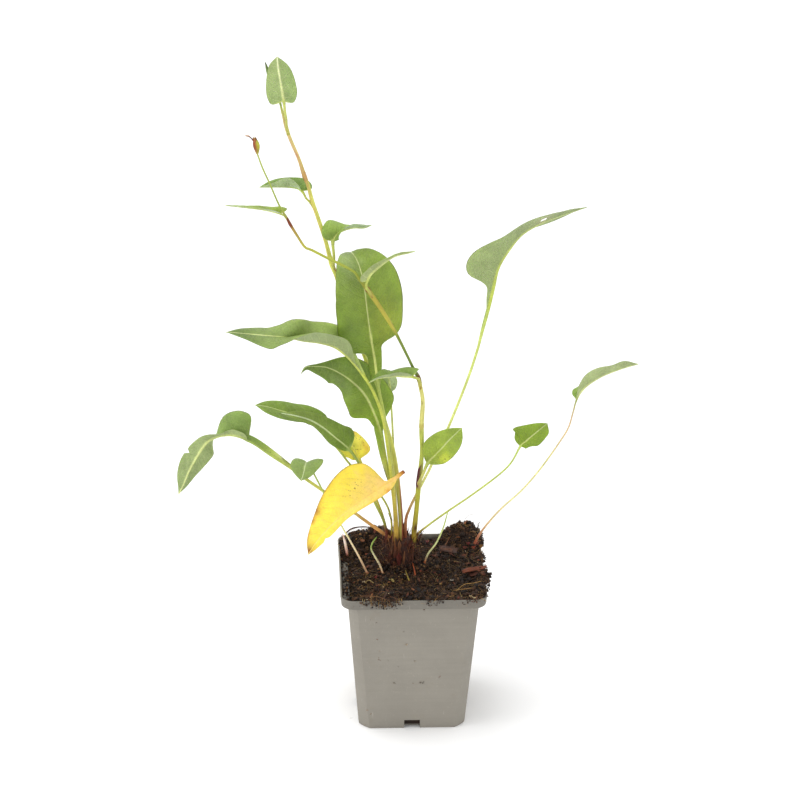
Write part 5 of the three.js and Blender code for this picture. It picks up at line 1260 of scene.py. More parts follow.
def grow_flower_head():
    """The unopened head: a lopsided spindle of overlapping scales with a thin curled pale tip."""
    surface = Surface()
    rng = np.random.default_rng(SEED + 5)
    spine = Route([(-93, -5, 372), (-93.3, -5, 375.5), (-93.9, -5, 379), (-95, -5, 382)])
    core = [(0, 0.7), (2, 1.35), (4.5, 1.95), (7, 1.75), (9.3, 0.8), (10.2, 0.3)]

    def body_tone(length, angle, points):
        length = length + 0 * angle
        brown = stops([(0, "#a8923e"), (3, "#94532a"), (7, "#8a3a26"), (10, "#9a5a30")], length)
        green = stops([(0, "#a8a446"), (4, "#b9b13c"), (10, "#a9b244")], length)
        return blend(brown, green, smooth(-0.5, 0.6, np.cos(angle) + 0 * length))

    add_tube(surface, spine, core, 18, 0.5, body_tone)
    count = 22
    for k in range(count):
        length = 0.8 + 7.2 * (k + 0.5) / count
        angle = k * 2.4
        along = spine.along(length)
        up = square(np.array([0, -1.0, 0.1]), along)
        outward = math.cos(angle) * np.cross(along, up) + math.sin(angle) * up
        radius = float(between(core, np.array(length), 1))
        colours = ("#b2a83e", "#a4b046") if math.cos(angle) > 0.1 else ("#8c4628", "#a86a3a")
        if rng.random() < 0.25:
            colours = ("#6c2f20", "#8a5a32")
        add_scale(surface, spine.at(length) + outward * radius * 0.86, along - outward * 0.04, outward,
            rng.uniform(2.4, 3.4), rng.uniform(1.5, 2.1), 0.9, -0.3, colours, 0.16, k)
    tail = Route([(-95.2, -5, 380.2), (-96.4, -5.1, 381.6), (-97.6, -5.2, 382.8), (-98.8, -5.2, 383.4),
        (-99.9, -5.2, 383.2)])
    marks = [(0, 0.5), (1.5, 0.34), (3, 0.36), (4.6, 0.5), (5.9, 0.2)]
    tip = [(0, "#6a2f20"), (2.4, "#4c2222"), (3.6, "#9a6648"), (4.6, "#dcb493"), (6, "#efd9c0")]
    add_tube(surface, tail, marks, 12, 0.4, lambda length, angle, points: stops(tip, length + 0 * angle))
    for k in range(9):
        angle = k * 2.1
        outward = np.array([-0.8, math.cos(angle) * 0.5, 0.25 * math.sin(angle)])
        add_scale(surface, tail.at(3.4 + 0.2 * k), outward, (0, -0.3, 1), rng.uniform(1.1, 1.9), 0.5, 0.7,
            0.6, ("#c08a66", "#f1dcc6"), 0.1, k)
    return surface.make("flower_head_grown", ["flower_bud"], [once(husk_skin, "bud scale", 0.6)])


def grow_rolled_leaf(settings):
    """The youngest leaf, still rolled round itself behind the top leaf, with a dark tip."""
    points = STEMS["tall_leaf_young"]
    route = Route(points)

    def shape(radius, length, angle):
        return radius * (0.86 + 0.24 * ((angle + 0.12 * length) % math.tau / math.tau))

    def tone(length, angle, points):
        base = [(0, "#a9b662"), (10, "#97ad5c"), (22, "#7f9a4c"), (28, "#708648"), (33, "#5c6442")]
        return stops(base, length + 0 * angle) * (1 + 0.08 * mottle(length, angle * 2, 4, SEED))[..., None]

    surface = Surface()
    add_tube(surface, route, route.radii(points), 28, 0.7, tone, shape=shape)
    skin = once(stem_skin, "stem skin", settings)
    return surface.make("tall_leaf_young_grown", ["tall_leaf_young"], [skin])


def soil_height(x, y):
    """Height of the heap's skin over the pot."""
    z = SOIL_LEVEL + 0 * x
    for mound_x, mound_y, rise, spread in SOIL_MOUNDS:
        z = z + rise * np.exp(-((x - mound_x) ** 2 + (y - mound_y) ** 2) / spread**2)
    z = z + 0.7 * np.sin(0.62 * x + 0.4 * y) * np.cos(0.55 * y - 0.27 * x)
    return z + 0.5 * np.sin(1.31 * x + 2) * np.sin(1.17 * y + 1)


def above_soil(spot, depth):
    """The spot, lifted where it would lie deeper than this in the heap."""
    spot[2] = max(spot[2], soil_height(spot[0], spot[1]) - depth)
    return spot


def rough_height(x, y):
    """The heap's height with its coarse crumbling."""
    coarse = [noise.fractal(Vector((a * 0.22, b * 0.22, 0.3)), 0.9, 2.2, 4) for a, b in zip(x, y)]
    clods = [noise.cell(Vector((a * 0.55, b * 0.55, 1.7))) for a, b in zip(x, y)]
    shoulder = 5.5 * np.exp(-((x - 24) ** 2 + (y - 35) ** 2) / 30)
    return soil_height(x, y) + shoulder + 2 * np.array(coarse) + 0.7 * np.array(clods) - 1


def into_square(points, half, corner):
    """Points moved inside a rounded square."""
    core = half - corner
    over = np.maximum(np.abs(points) - core, 0)
    reach = np.hypot(*over.T)[:, None]
    shrink = np.where(reach > corner, corner / np.maximum(reach, 1e-6), 1)
    return np.sign(points) * (np.minimum(np.abs(points), core) + over * shrink)


def clear_of_pot(x, y, z):
    """Points of the heap kept clear of the pot's wall below its rim and below its ledge."""
    flat = np.column_stack([x, y])
    height = z[:, None]
    below_rim = into_square(flat, RIM_HALF - RIM_WALL - 0.4, RIM_CORNER - RIM_WALL)
    below_ledge = into_square(flat, BODY_TOP_HALF - POT_WALL - 0.4, BODY_TOP_CUT)
    flat = np.where(height < POT_HEIGHT + 0.2, below_rim, flat)
    flat = np.where(height < POT_HEIGHT - RIM_BAND + POT_WALL + 0.2, below_ledge, flat)
    return np.column_stack([flat, z])


def on_heap(x, y, rise):
    """Points at some rise over the heap's skin."""
    points = clear_of_pot(x, y, rough_height(x, y))
    points[:, 2] += rise
    return points


def soil_tone_and_shadow(x, y):
    """How light the compost is at a place, from its listed patches, two of them painted shadow and shade, and
    a random mottling.
    """
    light = 0.9 + 0.22 * mottle(x, y, 6, SEED + 31)
    for patch_x, patch_y, reach, share in SOIL_PATCHES_AND_SHADOWS:
        light = light * share ** np.exp(-((x - patch_x) ** 2 + (y - patch_y) ** 2) / reach**2)
    return light[..., None]


def spread_places(count, rng, inset):
    """Random places over the heap's square."""
    left, right, front, back = SOIL_LIMITS
    return [rng.uniform(low + inset, high - inset, count) for low, high in ((left, right), (front, back))]


def crown_place(out, angle):
    """A place at some share of the way out from the crown's middle."""
    x, y = CROWN_PLACE
    return x + CROWN_RADII[0] * out * np.cos(angle), y + CROWN_RADII[1] * out * np.sin(angle)


def lump_faces():
    """The twenty faces between the corners of a lump, each one listed as seen from outside."""
    faces = []
    for i, j, k in itertools.combinations(range(len(LUMP_CORNERS)), 3):
        corners = LUMP_CORNERS[[i, j, k]]
        if np.linalg.norm(corners - np.roll(corners, 1, axis=0), axis=1).max() < LUMP_REACH:
            faces.append((i, j, k) if np.linalg.det(corners) > 0 else (i, k, j))
    return np.array(faces)


GOLDEN = (1 + 5**0.5) / 2
LUMP_CORNERS = np.array([corner for a in (-1, 1) for b in (-GOLDEN, GOLDEN)
    for corner in ((0, a, b), (a, b, 0), (b, 0, a))]) / math.hypot(1, GOLDEN)
LUMP_REACH = 1.1
LUMP_FACES = lump_faces()


def add_crumbs(surface, centres, sizes, tones, rng, spread=0.3):
    """Jagged little lumps, all different."""
    count = len(centres)
    corners = len(LUMP_CORNERS)
    jitter = 1 + rng.uniform(-spread, spread, (count, corners, 1))
    lumps = LUMP_CORNERS * jitter * rng.uniform(0.55, 1.25, (count, 1, 3))
    turn = rng.normal(size=(count, 4))
    turn = turn / np.linalg.norm(turn, axis=1, keepdims=True)
    axis = turn[:, None, 1:]
    twist = 2 * np.cross(axis, lumps)
    lumps = lumps + turn[:, :1, None] * twist + np.cross(axis, twist)
    points = lumps * sizes[:, None, None] + centres[:, None]
    faces = LUMP_FACES + (np.arange(count) * corners)[:, None, None]
    surface.add(points, [faces.reshape(-1, 3)], np.repeat(tones, corners, axis=0))


def add_strand(surface, points, radius, tone):
    """A thin three-sided fibre through points."""
    along = np.gradient(points, axis=0)
    along = along / np.maximum(np.linalg.norm(along, axis=1, keepdims=True), 1e-6)
    up = square(np.array([0.1, 0.2, 1]), along)
    side = np.cross(along, up)
    taper = radius * np.linspace(1, 0.5, len(points))[:, None]
    edges = [points + taper * (math.cos(angle) * side + math.sin(angle) * up) for angle in (2.6, 0.5, -1.57)]
    whole = np.stack(edges, axis=1).reshape(-1, 3)
    grown = np.column_stack([np.repeat(np.arange(len(points)) * 1.5, 3), whole[:, :2]])
    last = len(whole) - 1
    surface.add(whole, [ring_faces(len(points), 3), [(1, 0, 2), (last - 2, last - 1, last)]], tone, grown)


def add_slab(surface, centre, size, turn, tone, seed, rows, columns):
    """A rough flat piece of bark with layered, broken edges."""
    rng = np.random.default_rng(SEED + 100 + seed)
    u, v = np.meshgrid(np.linspace(-1, 1, rows), np.linspace(-1, 1, columns), indexing="ij")
    outline = 1 + 0.13 * mottle(u * 5, 0, 2.4, seed) - 0.28 * np.abs(u) ** 5
    x = size[0] / 2 * (u + 0.09 * mottle(v * 4, u, 2, seed + 1))
    y = size[1] / 2 * v * outline
    bend = 0.09 * size[1] * (v**2 - 0.5) + 0.05 * size[0] * mottle(u * 3, v, 3, seed + 2)
    thick = size[2] / 2 * (1 - 0.5 * np.abs(v) ** 4) * (1 - 0.6 * np.abs(u) ** 6)
    rough = size[2] * 0.22
    layer = rough * np.round(2 * mottle(u * 5, v * 5, 2.6, seed + 3)) / 2
    top = np.stack([x, y, bend + thick + layer], -1)
    bottom = np.stack([x, y, bend - thick - rough * mottle(u * 5, v * 5, 2, seed + 4)], -1)
    middle = (top + bottom) / 2
    for side in (0, -1):
        top[:, side] = bottom[:, side] = middle[:, side]
    spin = np.array(Euler(np.radians(turn)).to_matrix()).T
    grown = np.stack([x + rng.uniform(0, 50), y, 0 * x], -1)
    colour = tone * (1 + 0.22 * mottle(u * 5, v * 5, 2, seed + 5))[..., None]
    add_sheet(surface, top @ spin + centre, bottom @ spin + centre, (colour, colour), grown, slots=(0, 0))


# What the settings of a kind have in common
COLOUR = {"subtype": "COLOR", "size": 3, "min": 0, "max": 1}
SHARE = {"subtype": "FACTOR", "min": 0, "max": 1}
LENGTH = {"subtype": "DISTANCE", "unit": "LENGTH", "precision": 5}


class PotSettings(bpy.types.PropertyGroup):
    """Finish of the nursery pot."""

    colour: bpy.props.FloatVectorProperty(name="Plastic colour", description="Colour of the moulded plastic",
        default=tuple(linear("#8c877d")), **COLOUR)
    roughness: bpy.props.FloatProperty(name="Dullness", description="Roughness of the plastic",
        default=0.6, **SHARE)
    bow: bpy.props.FloatProperty(name="Bow of the walls", description="How far the thin walls curve inwards",
        default=0.35 * MM, min=0, max=2 * MM, **LENGTH)


class CompostSettings(bpy.types.PropertyGroup):
    """Grain of the compost."""

    colour: bpy.props.FloatVectorProperty(name="Compost colour", description="Colour of the damp peat",
        default=tuple(linear("#2e1e14")), **COLOUR)
    crumbs: bpy.props.IntProperty(name="Crumbs", description="Number of loose crumbs", default=8200, min=100,
        max=9000)
    clods: bpy.props.IntProperty(name="Clods", description="Number of coarse clods", default=620, min=10,
        max=2000)
    fibres: bpy.props.IntProperty(name="Fibres", description="Number of loose fibres", default=5400, min=10,
        max=6000)
    bits: bpy.props.IntProperty(name="Bark bits", description="Number of small flat bits of bark",
        default=170, min=10, max=500)
    damp: bpy.props.FloatProperty(name="Damp", description="How much the wet places shine", default=0.3,
        min=0, max=0.7, subtype="FACTOR")


class CrownSettings(bpy.types.PropertyGroup):
    """Sheaths of the crown."""

    husks: bpy.props.IntProperty(name="Husks", description="Number of old sheaths round the crown",
        default=96, min=4, max=160)
    hairs: bpy.props.IntProperty(name="Fibres", description="Number of loose fibres on the crown",
        default=640, min=4, max=900)


class LeafSettings(bpy.types.PropertyGroup):
    """Build and finish of the leaf blades."""

    thickness: bpy.props.FloatProperty(name="Blade thickness", description="Thickness between the veins",
        default=0.36 * MM, min=0.1 * MM, max=1 * MM, **LENGTH)
    vein_spacing: bpy.props.FloatProperty(name="Vein spacing",
        description="Distance between side veins along the midrib", default=5.2 * MM, min=2 * MM, max=12 * MM,
        **LENGTH)
    ripple: bpy.props.FloatProperty(name="Ripple", description="Rise of the blade between its side veins",
        default=0.13 * MM, min=0, max=0.6 * MM, **LENGTH)
    upper_roughness: bpy.props.FloatProperty(name="Upper side roughness",
        description="Roughness of the upper side", default=0.37, **SHARE)
    lower_roughness: bpy.props.FloatProperty(name="Under side roughness",
        description="Roughness of the under side", default=0.58, **SHARE)


class StemSettings(bpy.types.PropertyGroup):
    """Build and finish of the stems."""

    sides: bpy.props.IntProperty(name="Sides", description="Faces round a stem", default=24, min=8, max=48)
    step: bpy.props.FloatProperty(name="Step", description="Distance between rings along a stem",
        default=1.8 * MM, min=0.5 * MM, max=6 * MM, **LENGTH)
    roughness: bpy.props.FloatProperty(name="Roughness", description="Roughness of the stem skin",
        default=0.46, **SHARE)


class StageSettings(bpy.types.PropertyGroup):
    """Floor and lights."""

    floor: bpy.props.FloatVectorProperty(name="Floor colour", description="Colour of the plain floor",
        default=(0.97, 0.97, 0.97), **COLOUR)
    sky: bpy.props.FloatProperty(name="Room light", description="Strength of the even light all round",
        default=1, min=0, max=3)
    lamp: bpy.props.FloatProperty(name="Softbox power", description="Power of the large softbox", default=24,
        min=0, max=300, unit="POWER")


def square_outline(half, corner, softness, z, bow):
    """One ring round the pot with rounded or cut corners and walls that may bow inwards."""
    share = np.linspace(0, 1, 10)
    angle = math.pi / 2 * share
    rounded = half - corner + corner * np.column_stack([np.cos(angle), np.sin(angle)])
    cut = half - corner * np.column_stack([share, 1 - share])
    share = np.linspace(0, 1, 13)[1:-1]
    wall = np.column_stack([(half - corner) * (1 - 2 * share), half - bow * np.sin(math.pi * share) ** 2])
    side = np.vstack([cut + (rounded - cut) * softness, wall])
    ring = np.vstack([side @ QUARTER_TURNS[turn, :2, :2] for turn in range(4)])
    return np.column_stack([ring, np.full(len(ring), z)])


def body_half(z):
    """Half-width of the pot's body at a height."""
    return BODY_BASE_HALF + (BODY_TOP_HALF - BODY_BASE_HALF) * z / (POT_HEIGHT - RIM_BAND)


def body_cut(z):
    """Width of the cut corners of the pot's body at a height."""
    return BODY_BASE_CUT + (BODY_TOP_CUT - BODY_BASE_CUT) * z / (POT_HEIGHT - RIM_BAND)


def plate_corners(centre, size, turn):
    """Corners of a small plate that stands at one side of the pot."""
    ends = (-0.5, 0.5)
    corners = np.array([(x, y, z) for x in ends for y in ends for z in ends])
    return (corners * size + centre) @ QUARTER_TURNS[turn]


PLATE_FACES = [(0, 1, 3, 2), (4, 6, 7, 5), (0, 4, 5, 1), (2, 3, 7, 6), (0, 2, 6, 4), (1, 5, 7, 3)]
QUARTER_TURN = [[0, 1, 0], [-1, 0, 0], [0, 0, 1]]
QUARTER_TURNS = np.array([np.linalg.matrix_power(QUARTER_TURN, turn) for turn in range(4)])
CREASE = math.radians(32)


class BISTORT_OT_pot(bpy.types.Operator):
    """Mould the square pot with its rim band, rounded edges, notches and the dirt stuck to it"""

    bl_idname = "bistort.pot"
    bl_label = "Square pot"

    def execute(self, context):
        settings = context.scene.bistort_pot
        tone = np.array(settings.colour)
        plastic = once(pot_skin, "moulded grey plastic", settings)
        pot = self.mould(settings.bow / MM, tone, plastic)
        liner = Surface()
        for turn in range(4):
            self.cut(pot, turn)
            self.add_liner(liner, turn, tone)
        self.colour_cuts(pot.data, tone)
        liners = liner.make("pot_notch_liners", [], [plastic])
        for piece in (pot, liners):
            piece.data.set_sharp_from_angle(angle=CREASE)
        self.add_dirt(once(earth_skin, "compost crumb", context.scene.bistort_compost.damp))
        return {"FINISHED"}

    def mould(self, bow, tone, plastic):
        """The shell, from the foot up the outside and down the inside, before its notches are cut."""
        ledge = POT_HEIGHT - RIM_BAND
        rim_low = RIM_HALF - RIM_DRAFT
        base = body_half(0)
        soft = CORNER_SOFTNESS
        outline = [(base - 1, 6.4, soft, 0), (base - 0.3, 6.5, soft, 0.12), (base, BODY_BASE_CUT, soft, 0.8)]
        outline += [(body_half(z), body_cut(z), soft, z)
            for z in (3.6, 6, 9, 16, 26, 38, 50, 62, 74, 83, 87.6)]
        outline += [(body_half(89.6) + 0.1, BODY_TOP_CUT, 0.3, 89.6), (BODY_TOP_HALF + 0.6, 5.6, 0.5, ledge)]
        outline += [(half, RIM_CORNER - less, 1, z) for half, less, z in (
            (rim_low - 0.5, 0, ledge), (rim_low - 0.1, 0, ledge + 0.16), (rim_low, 0, ledge + 0.6),
            (RIM_HALF - 0.1, 0, POT_HEIGHT - 0.9), (RIM_HALF, 0, POT_HEIGHT - 0.4),
            (RIM_HALF - 0.2, 0.2, POT_HEIGHT - 0.06), (RIM_HALF - 0.55, 0.6, POT_HEIGHT),
            (RIM_HALF - 0.9, 0.9, POT_HEIGHT - 0.1), (RIM_HALF - RIM_WALL, RIM_WALL, POT_HEIGHT - 0.5))]
        inside = [(rim_low - RIM_WALL, RIM_CORNER - RIM_WALL, 1, ledge + POT_WALL + 0.3),
            (rim_low - RIM_WALL - 0.4, RIM_CORNER - RIM_WALL, 1, ledge + POT_WALL),
            (BODY_TOP_HALF - POT_WALL, BODY_TOP_CUT, 0.4, ledge + POT_WALL),
            (BODY_TOP_HALF - POT_WALL - 0.3, BODY_TOP_CUT, soft, ledge),
            (body_half(60) - POT_WALL, 5.6, soft, 60), (body_half(1.6) - POT_WALL, 6.3, soft, 1.6)]
        rings = [square_outline(*row, bow * math.sin(math.pi * row[3] / 88) if row[3] < 89 else 0.12)
            for row in outline + inside]
        size = len(rings[0])
        points = np.vstack([*rings, (0, 0, 0.4), (0, 0, 1.6)])
        inner = np.append(np.repeat([0] * len(outline) + [1] * len(inside), size), (0, 1))
        x, y, z = points.T
        # Painted shade: the front of the rim band is made darker, and the inside walls are made darker, with
        # less of this painted shade on the left inside wall
        rim_front_shade = smooth(ledge - 1, ledge + 0.5, z) * (1 - inner) * smooth(0.6, 1, -y / RIM_HALF)
        shade = 1 - 0.33 * rim_front_shade - (0.5 - 0.34 * smooth(0, -RIM_HALF, x)) * inner
        surface = Surface()
        surface.add(points, closed_faces(len(rings), size), tone * shade[:, None], speckle=inner)
        return surface.make("pot_moulded", ["pot"], [plastic])

    def cut(self, pot, turn):
        """Cuts one notch through the wall."""
        middle = (BODY_BASE_HALF, 0, NOTCH_HEIGHT / 2 - 1)
        corners = plate_corners(middle, (8, NOTCH_WIDTH, NOTCH_HEIGHT + 2), turn)
        mesh = bpy.data.meshes.new("notch cutter")
        mesh.from_pydata((corners * MM).tolist(), [], PLATE_FACES)
        mesh.update()
        cutter = placed("notch_cutter", mesh)
        change = pot.modifiers.new("notch", "BOOLEAN")
        change.operation = "DIFFERENCE"
        change.solver = "EXACT"
        change.object = cutter
        bpy.context.view_layer.objects.active = pot
        pot.select_set(True)
        bpy.ops.object.modifier_apply(modifier=change.name)
        bpy.data.objects.remove(cutter)

    def colour_cuts(self, mesh, tone):
        """The corners that the cuts made start out white and get the colour of the plastic."""
        stored = mesh.attributes["tone"].data
        colours = np.empty(len(stored) * 4)
        stored.foreach_get("color", colours)
        colours = colours.reshape(-1, 4)
        colours[colours[:, 0] > 0.9, :3] = tone
        stored.foreach_set("color", colours.ravel())

    def add_liner(self, surface, turn, tone):
        """The recess behind one notch: a roof, two cheeks and a back with its drain slot."""
        outer = BODY_BASE_HALF - 0.4
        inner = BODY_BASE_HALF - NOTCH_DEPTH
        middle = (outer + inner) / 2
        depth = outer - inner
        thick = 1.1
        back = inner - thick / 2
        broad = NOTCH_WIDTH + 2 * thick
        high = NOTCH_HEIGHT
        slot = high - DRAIN_HEIGHT
        side = (NOTCH_WIDTH - DRAIN_WIDTH) / 2
        cheek = (NOTCH_WIDTH + thick) / 2
        jamb = (DRAIN_WIDTH + side) / 2
        for place, size in (((middle, 0, high + thick / 2), (depth, broad, thick)),
                ((middle, cheek, high / 2), (depth, thick, high)),
                ((middle, -cheek, high / 2), (depth, thick, high)),
                ((back, 0, slot / 2), (thick, broad, slot)),
                ((back, jamb, high / 2), (thick, side, high)),
                ((back, -jamb, high / 2), (thick, side, high))):
            surface.add(plate_corners(place, size, turn), [PLATE_FACES], tone)

    def add_dirt(self, earth):
        """Small crumbs and splashes stuck to the front of the body and to the rim."""
        rng = np.random.default_rng(SEED + 21)
        surface = Surface()
        for specks, least, more, broad, high, sizes, shades in (
                (POT_SPECKS, 3, 6, 0.7, 0.5, (0.12, 0.42), (0.75, 1.2)),
                (RIM_SPECKS, 5, 9, 1, 0.55, (0.16, 0.5), (0.7, 1.3))):
            for x, z, reach, text in specks:
                count = int(least + reach * more)
                x = x + rng.normal(0, reach * broad, count)
                z = z + rng.normal(0, reach * high, count)
                y = -body_half(z) if specks is POT_SPECKS else np.where(z < 90.4, 3.5, 0) - RIM_HALF
                add_crumbs(surface, np.column_stack([x, y, z]), rng.uniform(*sizes, count) * reach,
                    linear(text) * rng.uniform(*shades, (count, 1)), rng)
        surface.make("pot_dirt", [], [earth])


# Rings of the heap's skin, loose crumbs at two places, and the rounded square that fibres keep to
HEAP_RINGS = 70
CROWN_CRUMBS = 520
LEDGE_CRUMBS = 150
FIBRE_LIMIT = (46.4, 6)


class BISTORT_OT_compost(bpy.types.Operator):
    """Heap the damp compost with its crumbs, fibres, bark bits, grit, buds and roots"""

    bl_idname = "bistort.compost"
    bl_label = "Compost"

    def execute(self, context):
        settings = context.scene.bistort_compost
        self.earth = once(earth_skin, "compost crumb", settings.damp)
        self.husk = once(husk_skin, "dry husk")
        self.rng = np.random.default_rng(SEED + 1)
        self.add_heap(settings)
        self.add_crumb_cover(settings.crumbs)
        self.add_clods(settings.clods)
        self.add_fibres(settings.fibres)
        self.add_bits(settings.bits)
        self.add_finds()
        return {"FINISHED"}

    def add_heap(self, settings):
        """The heap's skin as square rings round its middle, and its sides inside the pot."""
        half = HEAP_RINGS
        left, right, front, back = SOIL_LIMITS
        run = (np.arange(2 * half) - half) / half
        one = np.ones(2 * half)
        edge = np.hstack([(run, -one), (one, run), (-run, one), (-one, -run)])
        size = edge.shape[1]
        out = np.repeat(np.arange(half, 0, -1) / half, size)
        u, v = np.tile(edge, half) * out
        pull = 1 - 0.07 * u**4 * v**4
        x = np.where(u < 0, -left, right) * u * pull
        y = np.where(v < 0, -front, back) * v * pull
        top = clear_of_pot(x, y, rough_height(x, y) - 1.2 * smooth(0.97, 1, out))
        flat, level = top[:size, :2], top[:size, 2] - 0.4
        walls = [np.column_stack([into_square(flat, limit, corner), np.minimum(height, level)])
            for height, limit, corner in ((2.2, body_half(2) - 1.8, 6.5), (60, body_half(60) - 1.6, 5.8),
            (91.4, BODY_TOP_HALF - 1.6, 5.4), (92.2, RIM_HALF - 2, 7), (POT_HEIGHT + 0.1, RIM_HALF - 1.5, 7),
            (POT_HEIGHT + 0.15, 2 * RIM_HALF, 0))]
        peak = rough_height(np.zeros(1), np.zeros(1))[0]
        surface = Surface()
        points = np.vstack([*walls, top, (0, 0, 2.2), (0, 0, peak)])
        surface.add(points, closed_faces(len(walls) + half, size), np.array(settings.colour) * 0.8)
        surface.make("compost_heap", ["compost"], [self.earth])

    def add_crumb_cover(self, count):
        """Crumbs all over the heap, spilt over the rim, round the crown and on the pot's ledge."""
        rng = self.rng
        surface = Surface()
        x, y = spread_places(count, rng, 0.3)
        size = np.clip(rng.lognormal(-0.95, 0.48, count), 0.16, 1.4)
        centres = on_heap(x, y, rng.uniform(-0.1, 1.5, count) - 0.3)
        add_crumbs(surface, centres, size, chosen(CRUMB_TONES, count, rng) * soil_tone_and_shadow(x, y), rng)
        for middle, reach, drop, count in RIM_SPILLS:
            along = middle + rng.normal(0, reach, count)
            fall = rng.uniform(0, 1, count) ** 1.4
            over = fall > 0.35
            depth = np.where(over, -45.3 - rng.uniform(0, 0.9, count), rng.uniform(-46, -43.2, count))
            height = np.where(over, 96.8 - drop * (fall - 0.35) / 0.65, 96.9 + rng.uniform(0, 1.3, count))
            add_crumbs(surface, np.column_stack([along, depth, height]), rng.uniform(0.2, 0.62, count),
                chosen(CRUMB_TONES, count, rng), rng)
        count = CROWN_CRUMBS
        angle = rng.uniform(0, math.tau, count)
        out = rng.uniform(0.86, 1.5, count)
        x, y = crown_place(out, angle)
        level = soil_height(x, y) + rng.uniform(0, 1, count) * 7 * smooth(1.5, 0.9, out)
        add_crumbs(surface, np.column_stack([x, y, level]), rng.uniform(0.4, 1.3, count),
            chosen(CRUMB_TONES, count, rng), rng)
        count = LEDGE_CRUMBS
        y = rng.uniform(-30, 40, count)
        places = np.column_stack([rng.uniform(-43.6, -39.5, count), y, rng.uniform(91.6, 92.6, count)])
        add_crumbs(surface, places, rng.uniform(0.3, 0.8, count), chosen(CRUMB_TONES, count, rng), rng)
        surface.make("compost_crumbs", [], [self.earth])

    def add_clods(self, count):
        """Coarse clods, each of three lumps close together."""
        rng = self.rng
        surface = Surface()
        x, y = spread_places(count, rng, 2)
        reach = rng.uniform(1, 2.5, count)
        for _ in range(3):
            shift = rng.normal(0, 0.7, (2, count)) * reach
            centres = on_heap(x + shift[0], y + shift[1], rng.uniform(-0.4, 0.5, count) * reach)
            add_crumbs(surface, centres, reach * rng.uniform(0.45, 0.9, count),
                chosen(CRUMB_TONES[:5], count, rng) * soil_tone_and_shadow(x, y), rng, 0.42)
        surface.make("compost_clods", [], [self.earth])

    def add_fibres(self, count):
        """Bent fibres all over the heap, and some that hang over the front of the rim."""
        rng = self.rng
        surface = Surface()
        x, y = spread_places(count, rng, 1.5)
        starts = on_heap(x, y, rng.uniform(0.1, 1.5, count))
        tones = chosen(FIBRE_TONES, count, rng) * soil_tone_and_shadow(x, y)
        for start, tone in zip(starts, tones):
            length = rng.uniform(1.4, 6.5)
            angle = rng.uniform(0, math.tau)
            bend = rng.normal(0, 0.8)
            tilt = rng.normal(0.1, 0.34)
            points = [start]
            for _ in range(6):
                angle += bend / 3 + rng.normal(0, 0.16)
                tilt += rng.normal(-0.05, 0.12)
                step = length / 5 * np.array([math.cos(angle), math.sin(angle), tilt])
                points.append(above_soil(points[-1] + step, 0.6))
            points = np.array(points[:-1])
            points[:, :2] = into_square(points[:, :2], *FIBRE_LIMIT)
            add_strand(surface, points, rng.uniform(0.04, 0.12), tone)
        for middle, reach, drop, count in RIM_SPILLS:
            for _ in range(count // 4):
                spot = (middle + rng.normal(0, reach), -43.6, 97.4)
                fall = rng.uniform(0.5, 1.1) * drop
                drift = rng.normal(0, 0.5)
                steps = np.array([(0, 0, 0), (drift, -1.2, 0.3), (2 * drift, -2.2, -0.4),
                    (2.6 * drift, -2.5, -0.5 * fall), (3 * drift, -2.4, -fall)])
                add_strand(surface, spot + steps, rng.uniform(0.06, 0.14), chosen(FIBRE_TONES, 1, rng)[0])
        surface.make("compost_fibres", [], [self.husk])

    def add_bits(self, count):
        """Small flat bits of bark, each at its own tilt."""
        rng = self.rng
        surface = Surface()
        x, y = spread_places(count, rng, 3)
        spots = on_heap(x, y, rng.uniform(0.3, 1.3, count))
        for k, (spot, tone) in enumerate(zip(spots, chosen(BIT_TONES, count, rng))):
            turn = rng.uniform(0, 360)
            size = (rng.uniform(1.8, 5.5), rng.uniform(0.9, 2.4), rng.uniform(0.3, 0.8))
            add_slab(surface, spot, size, (*rng.normal(0, 18, 2), turn), tone, k, 7, 5)
        surface.make("compost_bits", [], [self.husk])

    def add_finds(self):
        """Buds, grit and roots that lie on the heap."""
        rng = self.rng
        buds = Surface()
        for centre, reach, text in PINK_BUDS:
            base = np.array(centre) - (0, 0, reach * 0.5)
            for k in range(5):
                angle = k * 1.3 + rng.uniform(0, 0.5)
                x, y = math.cos(angle), math.sin(angle)
                tone = linear(text) * rng.uniform(0.5, 1)
                add_scale(buds, base, (x * 0.4, y * 0.4, 1), (x, y, -0.3), reach * 1.2, reach * 0.9, 1, 0.5,
                    (tone * 0.6, tone), 0.3, k)
        buds.make("compost_buds", [], [self.husk])
        grit = Surface()
        for centre, reach, text in PALE_GRIT:
            places = centre + rng.normal(0, reach * 0.55, (7, 3)) * (1, 1, 0.4)
            tones = linear(text) * rng.uniform(0.7, 1.15, (7, 1))
            add_crumbs(grit, places, rng.uniform(0.25, 0.5, 7) * reach, tones, rng, 0.4)
        grit.make("compost_grit", [], [once(earth_skin, "pale grit", 0.2)])
        roots = Surface()
        for points, radius, text in ROOTS:
            route = Route(points)
            marks = [(0, radius), (route.total * 0.5, radius * 0.9), (route.total, radius * 0.45)]
            seed = len(points)

            def shape(value, length, angle):
                return value * (1 + 0.16 * mottle(length, angle, 3, seed))

            add_tube(roots, route, marks, 8, 0.8, linear(text), up=(0.2, 0.3, 1), shape=shape)
        roots.make("compost_roots", [], [self.husk])


class BISTORT_OT_bark(bpy.types.Operator):
    """Break the two pieces of bark that lie in the compost"""

    bl_idname = "bistort.bark"
    bl_label = "Bark"

    def execute(self, context):
        for name, slabs in BARK_SLABS.items():
            surface = Surface()
            for index, (centre, size, turn, text) in enumerate(slabs):
                add_slab(surface, centre, size, turn, linear(text), len(name) + 7 * index, 34, 20)
            surface.make(f"{name}_broken", [name], [once(husk_skin, "dry husk")])
        return {"FINISHED"}


